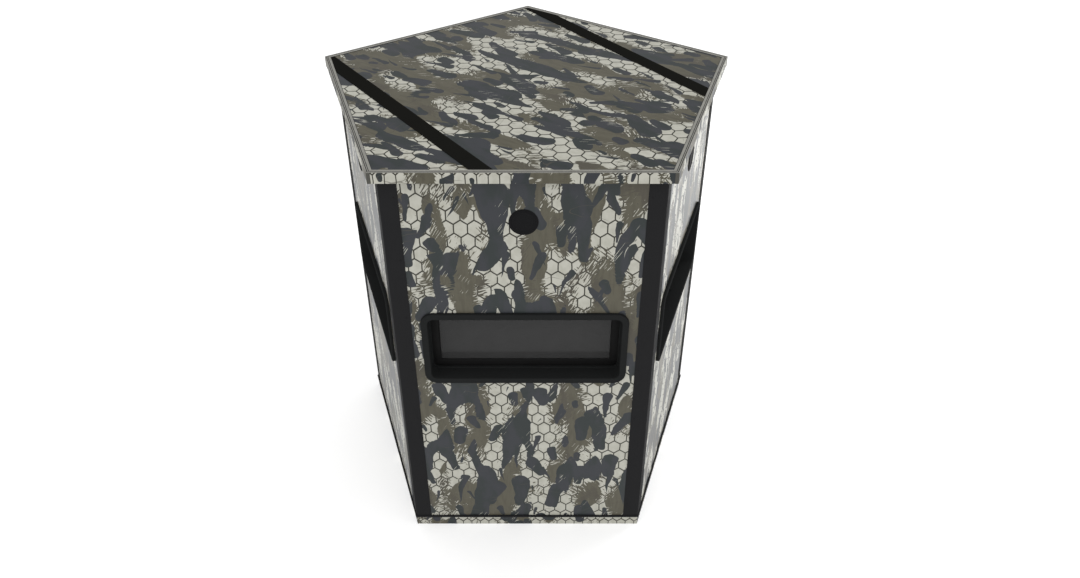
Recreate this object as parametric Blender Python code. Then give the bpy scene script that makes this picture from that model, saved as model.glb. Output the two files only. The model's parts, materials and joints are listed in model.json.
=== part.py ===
"""A five-sided hard-walled hunting blind, as an assembly of its separate pieces at rest.

Metres, +Z up. The origin is the middle of the floor's underside, and the front wall faces -Y.
Each wall's fittings are modelled in that wall's own space, whose origin is the foot of the wall's outer face:
X runs to the right as seen from outside, Y runs into the cabin and Z runs up.
At rest every door, window and vent is closed, and the latches are turned to where they hold nothing.
"""

import math

import bmesh
import bpy
from mathutils import Vector

INCH = 0.0254
GAP = 0.0003
CUT_PAST = 0.01

# Plan: a regular pentagon with a flat front.
SIDES = 5
HALF_ANGLE = math.pi / SIDES
HEIGHT = 84 * INCH
ROOF_SIDE = 48 * INCH
WALL_SIDE = 1.154
WALL_THICKNESS = 0.050
WALL_APOTHEM = WALL_SIDE / 2 / math.tan(HALF_ANGLE)
ROOF_APOTHEM = ROOF_SIDE / 2 / math.tan(HALF_ANGLE)
FLOOR_APOTHEM = WALL_APOTHEM + 0.0036

# Each wall is named by where it stands, with the direction that it faces in degrees from +X.
WALLS = {"front": -90, "right": -18, "rear_right": 54, "rear_left": 126, "left": 198}
WINDOW_WALLS = ("front", "right", "left", "rear_left")
DOOR_WALL = "rear_right"
CORNERS = {"front_right": -54, "right": 18, "back": 90, "left": 162, "front_left": 234}

# Levels.
FLOOR_TOP = 2.2 * INCH
CHANNEL_GAUGE = 0.003
CHANNEL_BOTTOM = FLOOR_TOP + GAP
CHANNEL_TOP = CHANNEL_BOTTOM + 0.010
CHANNEL_LIP = 0.008
WALL_BOTTOM = CHANNEL_BOTTOM + CHANNEL_GAUGE + GAP
ROOF_THICKNESS = 0.049
EDGE_GAUGE = 0.002
EDGE_FLANGE = 0.026
EDGE_WEB = 0.0025
ROOF_PANEL_TOP = HEIGHT - EDGE_GAUGE - GAP
ROOF_PANEL_BOTTOM = HEIGHT - ROOF_THICKNESS + EDGE_GAUGE + GAP
WALL_TOP = ROOF_PANEL_BOTTOM - GAP
SEAM_GAP = 0.002
BATTEN_WIDTH = 0.077
TRIM_GAUGE = 0.003
TRIM_LEG_END = WALL_SIDE / 2 - 0.074

# Window: the bezel's clear opening, and how its rings sit around it.
WINDOW_Z = 47.55 * INCH
WINDOW_HALF_WIDTH = 17 * INCH
WINDOW_HALF_HEIGHT = 6.75 * INCH
WINDOW_RADIUS = 0.028
TIGHT_RADIUS = 0.002
BEZEL_BAND = 0.029
BEZEL_PROUD = 0.014
BEZEL_EDGE = 0.003
LINER_GAUGE = 0.004
LINER_STOP = 0.005
LINER_STEP_DEPTH = 0.062
LINER_END = 0.075
CLAMP_BAND = 0.0475
CLAMP_GAUGE = 0.006
SASH_FRONT = 0.0775
SASH_BACK = 0.0975
SASH_OUTSET = 0.014
SASH_INSET = 0.038
REBATE_INSET = 0.028
REBATE_DEPTH = 0.0828
GLASS_GAUGE = 0.004

# Sash hinge: lugs on the clamp carry a rod, and knuckles on the sash turn on it.
HINGE_DEPTH = 0.0810
HINGE_ABOVE_SASH = 0.009
HINGE_Z = WINDOW_Z + WINDOW_HALF_HEIGHT + SASH_OUTSET + HINGE_ABOVE_SASH
ROD_RADIUS = 0.004
ROD_HOLE = 0.0046
ROD_HALF_LENGTH = 0.310
ROD_HOLE_REACH = 0.320
KNUCKLE_RADIUS = 0.0075
KNUCKLE_X = 0.270
KNUCKLE_HALF_LENGTH = 0.015
KNUCKLE_ROOT = 0.003
KNUCKLE_WEB_SHORT = 0.001
LUG_X = 0.300
LUG_HALF_GAUGE = 0.004
LUG_HALF_HEIGHT = 0.005
LUG_ROOT = 0.003

# Sash latch: a turn button on the clamp.
LATCH_Z = WINDOW_Z - WINDOW_HALF_HEIGHT - 0.028
LATCH_REACH = 0.030
LATCH_CLEARANCE = 0.0008
LATCH_GAUGE = 0.005
LATCH_HALF_HEIGHT = 0.006
LATCH_STEM_RADIUS = 0.007
LATCH_PIN_RADIUS = 0.003
LATCH_PIN_HOLE = 0.0036
LATCH_PIN_JOIN = 0.004

# Vent: a turned sleeve through the wall with a cup-shaped plug in it.
VENT_Z = 74 * INCH
VENT_FLANGE_RADIUS = 4.85 / 2 * INCH
VENT_HOLE = 0.0530
SLEEVE_OUTER = 0.0520
SLEEVE_INNER = 0.0485
PLUG_RADIUS = 0.0478
PLUG_CAP_RADIUS = 0.0560
PLUG_CAP_GAUGE = 0.002
PLUG_CAP_EDGE = 0.001
PLUG_FLOOR = 0.001
PLUG_SHORT = 0.006
PLUG_WALL = 0.004
VENT_FLANGE_GAUGE = 0.002
VENT_FLANGE_EDGE = 0.001
VENT_SEGMENTS = 28

# Door, which opens outwards: the jamb's clear opening and what fits in it.
DOOR_Z = 1.030
DOOR_HALF_WIDTH = 0.353
DOOR_HALF_HEIGHT = 0.910
JAMB_FACE = 0.034
JAMB_PROUD = 0.0033
STOP_DEPTH = 0.0410
STOP_WIDTH = 0.012
JAMB_DEPTH = 0.0500
SLAB_HINGE_EDGE = 0.350
SLAB_LOCK_EDGE = -0.3485
SLAB_HALF_HEIGHT = 0.907
SLAB_BACK = STOP_DEPTH - GAP
DOOR_HINGE_X = 0.3515
DOOR_HINGE_DEPTH = -0.0118

# Door hinges: a leaf screwed on each side, a tab that joins each leaf to its knuckle, and a pin in the lower knuckle.
DOOR_HINGES = {"lower": 0.35, "upper": 1.70}
LEAF_GAUGE = 0.003
LEAF_HALF_HEIGHT = 0.035
LEAF_NEAR = 0.0077
LEAF_FAR = 0.0340
TAB_REACH = 0.009
DOOR_KNUCKLE_RADIUS = 0.007
KNUCKLE_HALF_GAP = 0.0005
PINTLE_RADIUS = 0.0035
PINTLE_ROOT = 0.004
PINTLE_LENGTH = 0.027
SOCKET_HOLE = 0.0041
SOCKET_HOLE_START = 0.005
SOCKET_HOLE_LENGTH = 0.029

# Door levers on their square spindle, and the bolt that they draw.
LEVER_X = -0.290
LEVER_Z = 1.05
LEVER_REACH = 0.115
LEVER_NEAR = 0.023
LEVER_FAR = 0.035
LEVER_HALF_HEIGHT = 0.009
HUB_RADIUS = 0.013
HUB_SEGMENTS = 20
SPINDLE_HALF = 0.004
SPINDLE_ROOT = 0.005
SPINDLE_INSIDE = 0.029
SPINDLE_PLAY = 0.0004
SPINDLE_SOCKET = 0.030
SPINDLE_BORE = 0.012
BOLT_DEPTH = 0.0187
BOLT_HALF_HEIGHT = 0.009
BOLT_HALF_GAUGE = 0.006
BOLT_PLAY = 0.0005
BOLT_FRONT = SLAB_LOCK_EDGE + BOLT_PLAY
BOLT_BACK = -0.305
BOLT_POCKET_END = -0.295

# Half sizes, in depth and in height, of the openings that the bolt enters.
STRIKE_MOUTH = (0.007, 0.010)
JAMB_MOUTH = (0.008, 0.011)
WALL_POCKET = (0.009, 0.012)
WALL_POCKET_DEPTH = 0.014
WALL_POCKET_OVERLAP = 0.003
STRIKE_PLATE = (0.0127, 0.040)
STRIKE_GAUGE = 0.0015
MOUTH_REACH = 0.005

# Colour, roughness and metallic value of each kind of surface.
FINISHES = {
    "camo_panel": ((0.24, 0.24, 0.20, 1), 0.55, 0.0),
    "black_trim": ((0.022, 0.022, 0.022, 1), 0.50, 0.0),
    "black_moulding": ((0.018, 0.018, 0.019, 1), 0.55, 0.0),
    "edge_trim": ((0.26, 0.26, 0.24, 1), 0.45, 0.3),
    "tinted_glass": ((0.05, 0.05, 0.05, 1), 0.05, 0.0),
    "hardware": ((0.03, 0.03, 0.03, 1), 0.40, 0.6),
    "steel": ((0.45, 0.45, 0.45, 1), 0.30, 1.0),
}


def clear_scene():
    for obj in list(bpy.data.objects):
        bpy.data.objects.remove(obj, do_unlink=True)


def material_for(node, finish):
    colour, roughness, metallic = FINISHES[finish]
    made = bpy.data.materials.new(f"{node}_{finish}")
    made.use_nodes = True
    shader = made.node_tree.nodes["Principled BSDF"]
    shader.inputs["Base Color"].default_value = colour
    shader.inputs["Roughness"].default_value = roughness
    shader.inputs["Metallic"].default_value = metallic
    return made


def new_object(name, shape):
    """An object from a bmesh, which this frees, with all its faces turned outwards."""
    bmesh.ops.recalc_face_normals(shape, faces=shape.faces)
    mesh = bpy.data.meshes.new(name)
    shape.to_mesh(mesh)
    shape.free()
    obj = bpy.data.objects.new(name, mesh)
    bpy.context.scene.collection.objects.link(obj)
    return obj


def loft(name, loops, cyclic):
    """Quads between consecutive closed loops of points. It is capped at both ends unless cyclic."""
    shape = bmesh.new()
    rows = [[shape.verts.new(p) for p in loop] for loop in loops]
    pairs = list(zip(rows, rows[1:] + rows[:1])) if cyclic else list(zip(rows, rows[1:]))
    for low, high in pairs:
        for i in range(len(low)):
            j = (i + 1) % len(low)
            shape.faces.new((low[i], low[j], high[j], high[i]))
    if not cyclic:
        shape.faces.new(rows[0])
        shape.faces.new(rows[-1])
    return new_object(name, shape)


def prism(name, outline, bottom, top):
    """A flat outline in X and Y, raised from bottom to top."""
    return loft(name, [[(x, y, z) for x, y in outline] for z in (bottom, top)], cyclic=False)


def box(name, low, high):
    (x0, y0, z0), (x1, y1, z1) = low, high
    return prism(name, [(x0, y0), (x1, y0), (x1, y1), (x0, y1)], z0, z1)


def cylinder(name, start, end, radius, segments=16):
    """A round bar between two points."""
    axis = Vector(end) - Vector(start)
    turn = axis.to_track_quat("Z", "Y")
    angles = [2 * math.pi * (i + 0.5) / segments for i in range(segments)]
    rim = [turn @ Vector((radius * math.cos(a), radius * math.sin(a), 0)) for a in angles]
    return loft(name, [[Vector(p) + r for r in rim] for p in (start, end)], cyclic=False)


def turned(name, profile, height, segments=VENT_SEGMENTS):
    """A closed profile of (radius, depth) turned around the wall's normal at that height. A radius of 0 ends on the axis."""
    shape = bmesh.new()
    rows = []
    for radius, depth in profile:
        if radius == 0:
            rows.append([shape.verts.new((0, depth, height))])
            continue
        angles = [2 * math.pi * i / segments for i in range(segments)]
        rows.append(
            [
                shape.verts.new((radius * math.cos(a), depth, height + radius * math.sin(a)))
                for a in angles
            ]
        )
    for one, other in zip(rows, rows[1:] + rows[:1]):
        if len(one) == 1 and len(other) == 1:
            continue
        for i in range(segments):
            j = (i + 1) % segments
            ring = [one[i % len(one)], one[j % len(one)], other[j % len(other)], other[i % len(other)]]
            shape.faces.new(list(dict.fromkeys(ring)))
    return new_object(name, shape)


def combine(base, others, operation):
    """Applies one Boolean for each other object, and removes those objects."""
    for other in others:
        step = base.modifiers.new(operation.title(), "BOOLEAN")
        step.operation = operation
        step.object = other
        other.hide_render = True
        other.display_type = "WIRE"
    graph = bpy.context.evaluated_depsgraph_get()
    result = bpy.data.meshes.new_from_object(base.evaluated_get(graph), depsgraph=graph)
    base.modifiers.clear()
    base.data = result
    for other in others:
        bpy.data.objects.remove(other, do_unlink=True)
    return base


def joined(base, *others):
    return combine(base, others, "UNION")


def cut(base, *cutters):
    return combine(base, cutters, "DIFFERENCE")


def finish(obj, name, look, smooth=False):
    """Names a finished node and gives it its own material."""
    obj.name = name
    obj.data.name = name
    obj.data.materials.clear()
    obj.data.materials.append(material_for(name, look))
    if smooth:
        obj.data.shade_smooth()
        obj.data.set_sharp_from_angle(angle=math.radians(35))
    return obj


def wall_frame(wall):
    """An empty at the foot of a wall's outer face, turned so that its Y runs into the cabin."""
    facing = math.radians(WALLS[wall])
    empty = bpy.data.objects.new(f"wall_frame_{wall}", None)
    empty.location = (WALL_APOTHEM * math.cos(facing), WALL_APOTHEM * math.sin(facing), 0)
    empty.rotation_euler = (0, 0, facing + math.pi / 2)
    bpy.context.scene.collection.objects.link(empty)
    return empty


def place(obj, frame, origin=(0, 0, 0)):
    """Parents a node to its wall's frame with its own origin there, which is on the joint's axis for a piece that moves."""
    for vertex in obj.data.vertices:
        vertex.co -= Vector(origin)
    obj.location = origin
    obj.parent = frame
    return obj


def pentagon(apothem):
    """The corners of the plan outline at this distance from the centre."""
    radius = apothem / math.cos(HALF_ANGLE)
    angles = [math.radians(a) for a in CORNERS.values()]
    return [Vector((radius * math.cos(a), radius * math.sin(a))) for a in angles]


def pentagon_ring(name, profile, apothem):
    """A closed profile of (outset from the apothem, height) swept round the plan with mitred corners."""
    corners = [[(p.x, p.y, z) for p in pentagon(apothem + out)] for out, z in profile]
    return loft(name, corners, cyclic=True)


def clipped(outline, normal, limit):
    """What is left of an outline on the side where its distance along normal is under limit."""
    kept = []
    for here, there in zip(outline, outline[1:] + outline[:1]):
        d_here, d_there = here.dot(normal) - limit, there.dot(normal) - limit
        if d_here <= 0:
            kept.append(here)
        if d_here * d_there < 0:
            kept.append(here.lerp(there, d_here / (d_here - d_there)))
    return kept


def strip(outline, normal, low, high):
    return clipped(clipped(outline, normal, high), -normal, -low)


def rounded_rectangle(half_width, half_height, radius, segments=5):
    """Corner points in X and Z about the middle, with an arc of this radius at each corner, or a sharp corner for 0."""
    if radius <= 0:
        signs = [(1, 1), (-1, 1), (-1, -1), (1, -1)]
        return [(sx * half_width, sz * half_height) for sx, sz in signs]
    points = []
    for quarter, (sx, sz) in enumerate([(1, 1), (-1, 1), (-1, -1), (1, -1)]):
        for i in range(segments + 1):
            a = math.pi / 2 * (quarter + i / segments)
            x = sx * (half_width - radius) + radius * math.cos(a)
            z = sz * (half_height - radius) + radius * math.sin(a)
            points.append((x, z))
    return points


def corner_radius(radius, outset):
    """An opening's corner radius at this outset. It never turns sharp, so that every loop has as many points."""
    return max(radius + outset, TIGHT_RADIUS) if radius else 0


def opening_ring(name, profile, half_width, half_height, radius, height):
    """A closed profile of (outset from the opening, depth) swept round a rounded opening in a wall."""
    loops = []
    for outset, depth in profile:
        corner = corner_radius(radius, outset)
        outline = rounded_rectangle(half_width + outset, half_height + outset, corner)
        loops.append([(x, depth, height + z) for x, z in outline])
    return loft(name, loops, cyclic=True)


def opening_block(name, outset, near, far, half_width, half_height, radius, height):
    """A solid block of an opening's outline, from one depth to another."""
    corner = corner_radius(radius, outset)
    outline = rounded_rectangle(half_width + outset, half_height + outset, corner)
    return loft(name, [[(x, d, height + z) for x, z in outline] for d in (near, far)], cyclic=False)


def window_ring(name, profile):
    return opening_ring(
        name, profile, WINDOW_HALF_WIDTH, WINDOW_HALF_HEIGHT, WINDOW_RADIUS, WINDOW_Z
    )


def window_block(name, outset, near, far):
    return opening_block(
        name, outset, near, far, WINDOW_HALF_WIDTH, WINDOW_HALF_HEIGHT, WINDOW_RADIUS, WINDOW_Z
    )


def make_floor():
    outline = pentagon(FLOOR_APOTHEM)
    finish(prism("floor", outline, 0, FLOOR_TOP), "floor_panel", "camo_panel")


def make_base_channel():
    """The track that the walls stand in. Its outer lip is heavier and throws water clear of the floor's edge."""
    inner = -(WALL_THICKNESS + GAP)
    web_top = CHANNEL_BOTTOM + CHANNEL_GAUGE
    profile = [
        (CHANNEL_LIP, CHANNEL_BOTTOM),
        (CHANNEL_LIP, CHANNEL_TOP),
        (GAP, CHANNEL_TOP),
        (GAP, web_top),
        (inner, web_top),
        (inner, CHANNEL_TOP),
        (inner - CHANNEL_GAUGE, CHANNEL_TOP),
        (inner - CHANNEL_GAUGE, CHANNEL_BOTTOM),
    ]
    finish(pentagon_ring("channel", profile, WALL_APOTHEM), "base_channel", "black_trim")


def wall_blank(wall):
    """A mitred sandwich panel, before its openings."""

    def half_width(depth):
        return (WALL_APOTHEM - depth) * math.tan(HALF_ANGLE) - GAP / 2 / math.cos(HALF_ANGLE)

    outer, inner = half_width(0), half_width(WALL_THICKNESS)
    outline = [(-outer, 0), (outer, 0), (inner, WALL_THICKNESS), (-inner, WALL_THICKNESS)]
    return prism(f"blank_{wall}", outline, WALL_BOTTOM, WALL_TOP)


def make_window_wall(wall, frame):
    near, far = -CUT_PAST, WALL_THICKNESS + CUT_PAST
    window = window_block("window_cutter", LINER_GAUGE + GAP, near, far)
    vent = cylinder("vent_cutter", (0, near, VENT_Z), (0, far, VENT_Z), VENT_HOLE, VENT_SEGMENTS)
    panel = cut(wall_blank(wall), window, vent)
    place(finish(panel, f"wall_{wall}", "camo_panel"), frame)


def bolt_box(name, start, end, half):
    """A box round the bolt's path, with half sizes in depth and in height."""
    half_depth, half_height = half
    return box(
        name,
        (start, BOLT_DEPTH - half_depth, LEVER_Z - half_height),
        (end, BOLT_DEPTH + half_depth, LEVER_Z + half_height),
    )


def make_door_wall(wall, frame):
    doorway = opening_block(
        "door_cutter",
        LINER_GAUGE + GAP,
        -CUT_PAST,
        WALL_THICKNESS + CUT_PAST,
        DOOR_HALF_WIDTH,
        DOOR_HALF_HEIGHT,
        0,
        DOOR_Z,
    )
    jamb_back = -(DOOR_HALF_WIDTH + LINER_GAUGE)
    pocket = bolt_box(
        "pocket_cutter", jamb_back - WALL_POCKET_DEPTH, jamb_back + WALL_POCKET_OVERLAP, WALL_POCKET
    )
    panel = cut(wall_blank(wall), doorway, pocket)
    place(finish(panel, f"wall_{wall}", "camo_panel"), frame)


def make_corner_trim(corner):
    """An angle folded over the joint of two walls. Each leg lies on one wall's outer face."""
    angle = math.radians(CORNERS[corner])

    def on_wall(side, out, along):
        facing = angle + side * HALF_ANGLE
        normal = Vector((math.cos(facing), math.sin(facing)))
        right = Vector((-normal.y, normal.x))
        return normal * (WALL_APOTHEM + out) - right * side * along

    def at_corner(out):
        radius = (WALL_APOTHEM + out) / math.cos(HALF_ANGLE)
        return Vector((radius * math.cos(angle), radius * math.sin(angle)))

    face = GAP + TRIM_GAUGE
    outline = [
        on_wall(-1, face, TRIM_LEG_END),
        at_corner(face),
        on_wall(1, face, TRIM_LEG_END),
        on_wall(1, GAP, TRIM_LEG_END),
        at_corner(GAP),
        on_wall(-1, GAP, TRIM_LEG_END),
    ]
    trim = prism("trim", [(p.x, p.y) for p in outline], CHANNEL_TOP + GAP, WALL_TOP)
    finish(trim, f"corner_trim_{corner}", "black_trim")


def make_roof():
    """Three sandwich panels across the roof, with battens over the two seams and a channel round the edge."""
    along = Vector((math.cos(HALF_ANGLE), math.sin(HALF_ANGLE)))
    seam = ROOF_SIDE / 2
    panels = pentagon(ROOF_APOTHEM - EDGE_WEB - GAP)
    spans = {
        "left": (-2 * ROOF_SIDE, -seam - SEAM_GAP / 2),
        "middle": (-seam + SEAM_GAP / 2, seam - SEAM_GAP / 2),
        "right": (seam + SEAM_GAP / 2, 2 * ROOF_SIDE),
    }
    for side, (low, high) in spans.items():
        outline = strip(panels, along, low, high)
        panel = prism("panel", outline, ROOF_PANEL_BOTTOM, ROOF_PANEL_TOP)
        finish(panel, f"roof_panel_{side}", "camo_panel")
    inside_rim = pentagon(ROOF_APOTHEM - EDGE_FLANGE - GAP)
    for side, middle in (("left", -seam), ("right", seam)):
        outline = strip(inside_rim, along, middle - BATTEN_WIDTH / 2, middle + BATTEN_WIDTH / 2)
        batten = prism("batten", outline, HEIGHT - EDGE_GAUGE, HEIGHT)
        finish(batten, f"roof_batten_{side}", "black_trim")
    bottom = HEIGHT - ROOF_THICKNESS
    profile = [
        (0, bottom),
        (0, HEIGHT),
        (-EDGE_FLANGE, HEIGHT),
        (-EDGE_FLANGE, HEIGHT - EDGE_GAUGE),
        (-EDGE_WEB, HEIGHT - EDGE_GAUGE),
        (-EDGE_WEB, bottom + EDGE_GAUGE),
        (-EDGE_FLANGE, bottom + EDGE_GAUGE),
        (-EDGE_FLANGE, bottom),
    ]
    finish(pentagon_ring("edge", profile, ROOF_APOTHEM), "roof_edge_trim", "edge_trim")


def make_window_frame(wall, frame):
    """The outside bezel with the liner that passes through the wall, as one moulding."""
    profile = [
        (0, BEZEL_EDGE - BEZEL_PROUD),
        (BEZEL_EDGE, -BEZEL_PROUD),
        (BEZEL_BAND - 2 * BEZEL_EDGE, -BEZEL_PROUD),
        (BEZEL_BAND, 2 * BEZEL_EDGE - BEZEL_PROUD),
        (BEZEL_BAND, -GAP),
        (LINER_GAUGE, -GAP),
        (LINER_GAUGE, LINER_END),
        (-LINER_STOP, LINER_END),
        (-LINER_STOP, LINER_STEP_DEPTH),
        (0, LINER_STEP_DEPTH),
    ]
    ring = window_ring("bezel", profile)
    place(finish(ring, f"window_frame_{wall}", "black_moulding", smooth=True), frame)


def along_hinge(name, start, end, radius):
    """A round bar on the sash hinge's axis."""
    return cylinder(name, (start, HINGE_DEPTH, HINGE_Z), (end, HINGE_DEPTH, HINGE_Z), radius)


def make_window_clamp(wall, frame):
    """The inside ring that clamps the bezel to the wall, with lugs for the hinge rod and a hole for the latch."""
    near = WALL_THICKNESS + GAP
    far = near + CLAMP_GAUGE
    inner = LINER_GAUGE + GAP
    ring = window_ring(
        "clamp", [(inner, near), (CLAMP_BAND, near), (CLAMP_BAND, far), (inner, far)]
    )
    lugs = []
    for side in (-1, 1):
        low, high = side * LUG_X - LUG_HALF_GAUGE, side * LUG_X + LUG_HALF_GAUGE
        arm = box(
            "arm",
            (low, far - LUG_ROOT, HINGE_Z - LUG_HALF_HEIGHT),
            (high, HINGE_DEPTH, HINGE_Z + LUG_HALF_HEIGHT),
        )
        lugs += [arm, along_hinge("eye", low, high, KNUCKLE_RADIUS)]
    ring = joined(ring, *lugs)
    rod_hole = along_hinge("rod_hole", -ROD_HOLE_REACH, ROD_HOLE_REACH, ROD_HOLE)
    latch_hole = cylinder(
        "latch_hole", (0, near - CUT_PAST, LATCH_Z), (0, far + CUT_PAST, LATCH_Z), LATCH_PIN_HOLE
    )
    ring = cut(ring, rod_hole, latch_hole)
    place(finish(ring, f"window_clamp_{wall}", "black_moulding"), frame)


def make_sash(wall, frame):
    """The hinged frame that the glass is bonded into, with two knuckles on the hinge rod."""
    profile = [
        (-SASH_INSET, SASH_FRONT),
        (SASH_OUTSET, SASH_FRONT),
        (SASH_OUTSET, SASH_BACK),
        (-REBATE_INSET, SASH_BACK),
        (-REBATE_INSET, REBATE_DEPTH),
        (-SASH_INSET, REBATE_DEPTH),
    ]
    ring = window_ring("sash", profile)
    top = HINGE_Z - HINGE_ABOVE_SASH
    knuckles = []
    web_back = HINGE_DEPTH + KNUCKLE_RADIUS - KNUCKLE_WEB_SHORT
    for side in (-1, 1):
        low, high = side * KNUCKLE_X - KNUCKLE_HALF_LENGTH, side * KNUCKLE_X + KNUCKLE_HALF_LENGTH
        web = box("web", (low, SASH_FRONT, top - KNUCKLE_ROOT), (high, web_back, HINGE_Z))
        knuckles += [web, along_hinge("tube", low, high, KNUCKLE_RADIUS)]
    ring = joined(ring, *knuckles)
    ring = cut(ring, along_hinge("hole", -ROD_HOLE_REACH, ROD_HOLE_REACH, ROD_HOLE))
    axis = (0, HINGE_DEPTH, HINGE_Z)
    place(finish(ring, f"window_sash_{wall}", "black_moulding"), frame, axis)
    pane = window_block("pane", -REBATE_INSET - GAP, REBATE_DEPTH + GAP, REBATE_DEPTH + GAP + GLASS_GAUGE)
    place(finish(pane, f"window_glass_{wall}", "tinted_glass"), frame, axis)


def make_hinge_rod(wall, frame):
    rod = along_hinge("rod", -ROD_HALF_LENGTH, ROD_HALF_LENGTH, ROD_RADIUS)
    place(finish(rod, f"window_hinge_rod_{wall}", "steel", smooth=True), frame)


def make_window_latch(wall, frame):
    """A turn button below the sash. Its tongue lies level at rest, clear of the sash, and points up to hold it shut."""
    face = WALL_THICKNESS + GAP + CLAMP_GAUGE + GAP
    tongue_near = SASH_BACK + LATCH_CLEARANCE
    tongue_far = tongue_near + LATCH_GAUGE
    pin_ends = (0, WALL_THICKNESS + 2 * GAP, LATCH_Z), (0, face + LATCH_PIN_JOIN, LATCH_Z)
    pin = cylinder("pin", *pin_ends, LATCH_PIN_RADIUS)
    stem = cylinder("stem", (0, face, LATCH_Z), (0, tongue_far, LATCH_Z), LATCH_STEM_RADIUS)
    tongue = box(
        "tongue",
        (0, tongue_near, LATCH_Z - LATCH_HALF_HEIGHT),
        (LATCH_REACH, tongue_far, LATCH_Z + LATCH_HALF_HEIGHT),
    )
    button = joined(stem, pin, tongue)
    axis = (0, face, LATCH_Z)
    place(finish(button, f"window_latch_{wall}", "hardware"), frame, axis)


def make_vent(wall, frame):
    flange = -VENT_FLANGE_GAUGE
    sleeve = turned(
        "sleeve",
        [
            (SLEEVE_INNER, flange),
            (VENT_FLANGE_RADIUS - VENT_FLANGE_EDGE, flange),
            (VENT_FLANGE_RADIUS, flange + VENT_FLANGE_EDGE),
            (VENT_FLANGE_RADIUS, -GAP),
            (SLEEVE_OUTER, -GAP),
            (SLEEVE_OUTER, WALL_THICKNESS),
            (SLEEVE_INNER, WALL_THICKNESS),
        ],
        VENT_Z,
    )
    place(finish(sleeve, f"vent_sleeve_{wall}", "black_moulding", smooth=True), frame)
    seat = flange - GAP
    face = seat - PLUG_CAP_GAUGE
    back = WALL_THICKNESS - PLUG_SHORT
    plug = turned(
        "plug",
        [
            (0, face),
            (PLUG_CAP_RADIUS - PLUG_CAP_EDGE, face),
            (PLUG_CAP_RADIUS, face + PLUG_CAP_EDGE),
            (PLUG_CAP_RADIUS, seat),
            (PLUG_RADIUS, seat),
            (PLUG_RADIUS, back),
            (PLUG_RADIUS - PLUG_WALL, back),
            (PLUG_RADIUS - PLUG_WALL, seat + PLUG_FLOOR),
            (0, seat + PLUG_FLOOR),
        ],
        VENT_Z,
    )
    place(finish(plug, f"vent_plug_{wall}", "black_moulding", smooth=True), frame, (0, 0, VENT_Z))


def make_door_frame(frame):
    """The jamb: a face flange outside, a liner through the wall and a stop that the door closes against."""
    profile = [
        (0, -JAMB_PROUD),
        (JAMB_FACE, -JAMB_PROUD),
        (JAMB_FACE, -GAP),
        (LINER_GAUGE, -GAP),
        (LINER_GAUGE, JAMB_DEPTH),
        (-STOP_WIDTH, JAMB_DEPTH),
        (-STOP_WIDTH, STOP_DEPTH),
        (0, STOP_DEPTH),
    ]
    jamb = opening_ring("jamb", profile, DOOR_HALF_WIDTH, DOOR_HALF_HEIGHT, 0, DOOR_Z)
    edge = -DOOR_HALF_WIDTH
    hole = bolt_box("bolt_hole", edge - LINER_GAUGE - MOUTH_REACH, edge + MOUTH_REACH, JAMB_MOUTH)
    place(finish(cut(jamb, hole), "door_frame", "black_trim"), frame)
    plate = bolt_box("plate", edge + GAP, edge + GAP + STRIKE_GAUGE, STRIKE_PLATE)
    mouth = bolt_box("mouth", edge - MOUTH_REACH, edge + MOUTH_REACH, STRIKE_MOUTH)
    place(finish(cut(plate, mouth), "door_strike_plate", "steel"), frame)


def make_door_panel(frame, axis):
    slab = box(
        "slab",
        (SLAB_LOCK_EDGE, -JAMB_PROUD, DOOR_Z - SLAB_HALF_HEIGHT),
        (SLAB_HINGE_EDGE, SLAB_BACK, DOOR_Z + SLAB_HALF_HEIGHT),
    )
    bore_ends = (LEVER_X, -JAMB_PROUD - CUT_PAST, LEVER_Z), (LEVER_X, SLAB_BACK + CUT_PAST, LEVER_Z)
    bore = cylinder("bore", *bore_ends, SPINDLE_BORE)
    pocket_half = (BOLT_HALF_GAUGE + BOLT_PLAY, BOLT_HALF_HEIGHT + BOLT_PLAY)
    pocket = bolt_box("pocket", SLAB_LOCK_EDGE - CUT_PAST, BOLT_POCKET_END, pocket_half)
    place(finish(cut(slab, bore, pocket), "door_panel", "camo_panel"), frame, axis)


def make_door_hinge(level, height, frame, axis):
    """A lift-off hinge: a pintle on the jamb, and a socket on the door that drops over its pin."""
    near = -JAMB_PROUD - GAP - LEAF_GAUGE
    far = -JAMB_PROUD - GAP
    x, y = DOOR_HINGE_X, DOOR_HINGE_DEPTH
    low, high = height - LEAF_HALF_HEIGHT, height + LEAF_HALF_HEIGHT
    under, over = height - KNUCKLE_HALF_GAP, height + KNUCKLE_HALF_GAP
    leaf = box("leaf", (x + LEAF_NEAR, near, low), (x + LEAF_FAR, far, high))
    tab = box("tab", (x, near, low), (x + TAB_REACH, far, under))
    knuckle = cylinder("knuckle", (x, y, low), (x, y, under), DOOR_KNUCKLE_RADIUS)
    pin = cylinder("pin", (x, y, height - PINTLE_ROOT), (x, y, height + PINTLE_LENGTH), PINTLE_RADIUS)
    pintle = joined(leaf, tab, knuckle, pin)
    place(finish(pintle, f"door_hinge_pintle_{level}", "hardware"), frame)
    leaf = box("leaf", (x - LEAF_FAR, near, low), (x - LEAF_NEAR, far, high))
    tab = box("tab", (x - TAB_REACH, near, over), (x, far, high))
    knuckle = cylinder("knuckle", (x, y, over), (x, y, high), DOOR_KNUCKLE_RADIUS)
    socket = joined(leaf, tab, knuckle)
    hole_ends = (x, y, height - SOCKET_HOLE_START), (x, y, height + SOCKET_HOLE_LENGTH)
    hole = cylinder("hole", *hole_ends, SOCKET_HOLE)
    place(finish(cut(socket, hole), f"door_hinge_socket_{level}", "hardware"), frame, axis)


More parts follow.
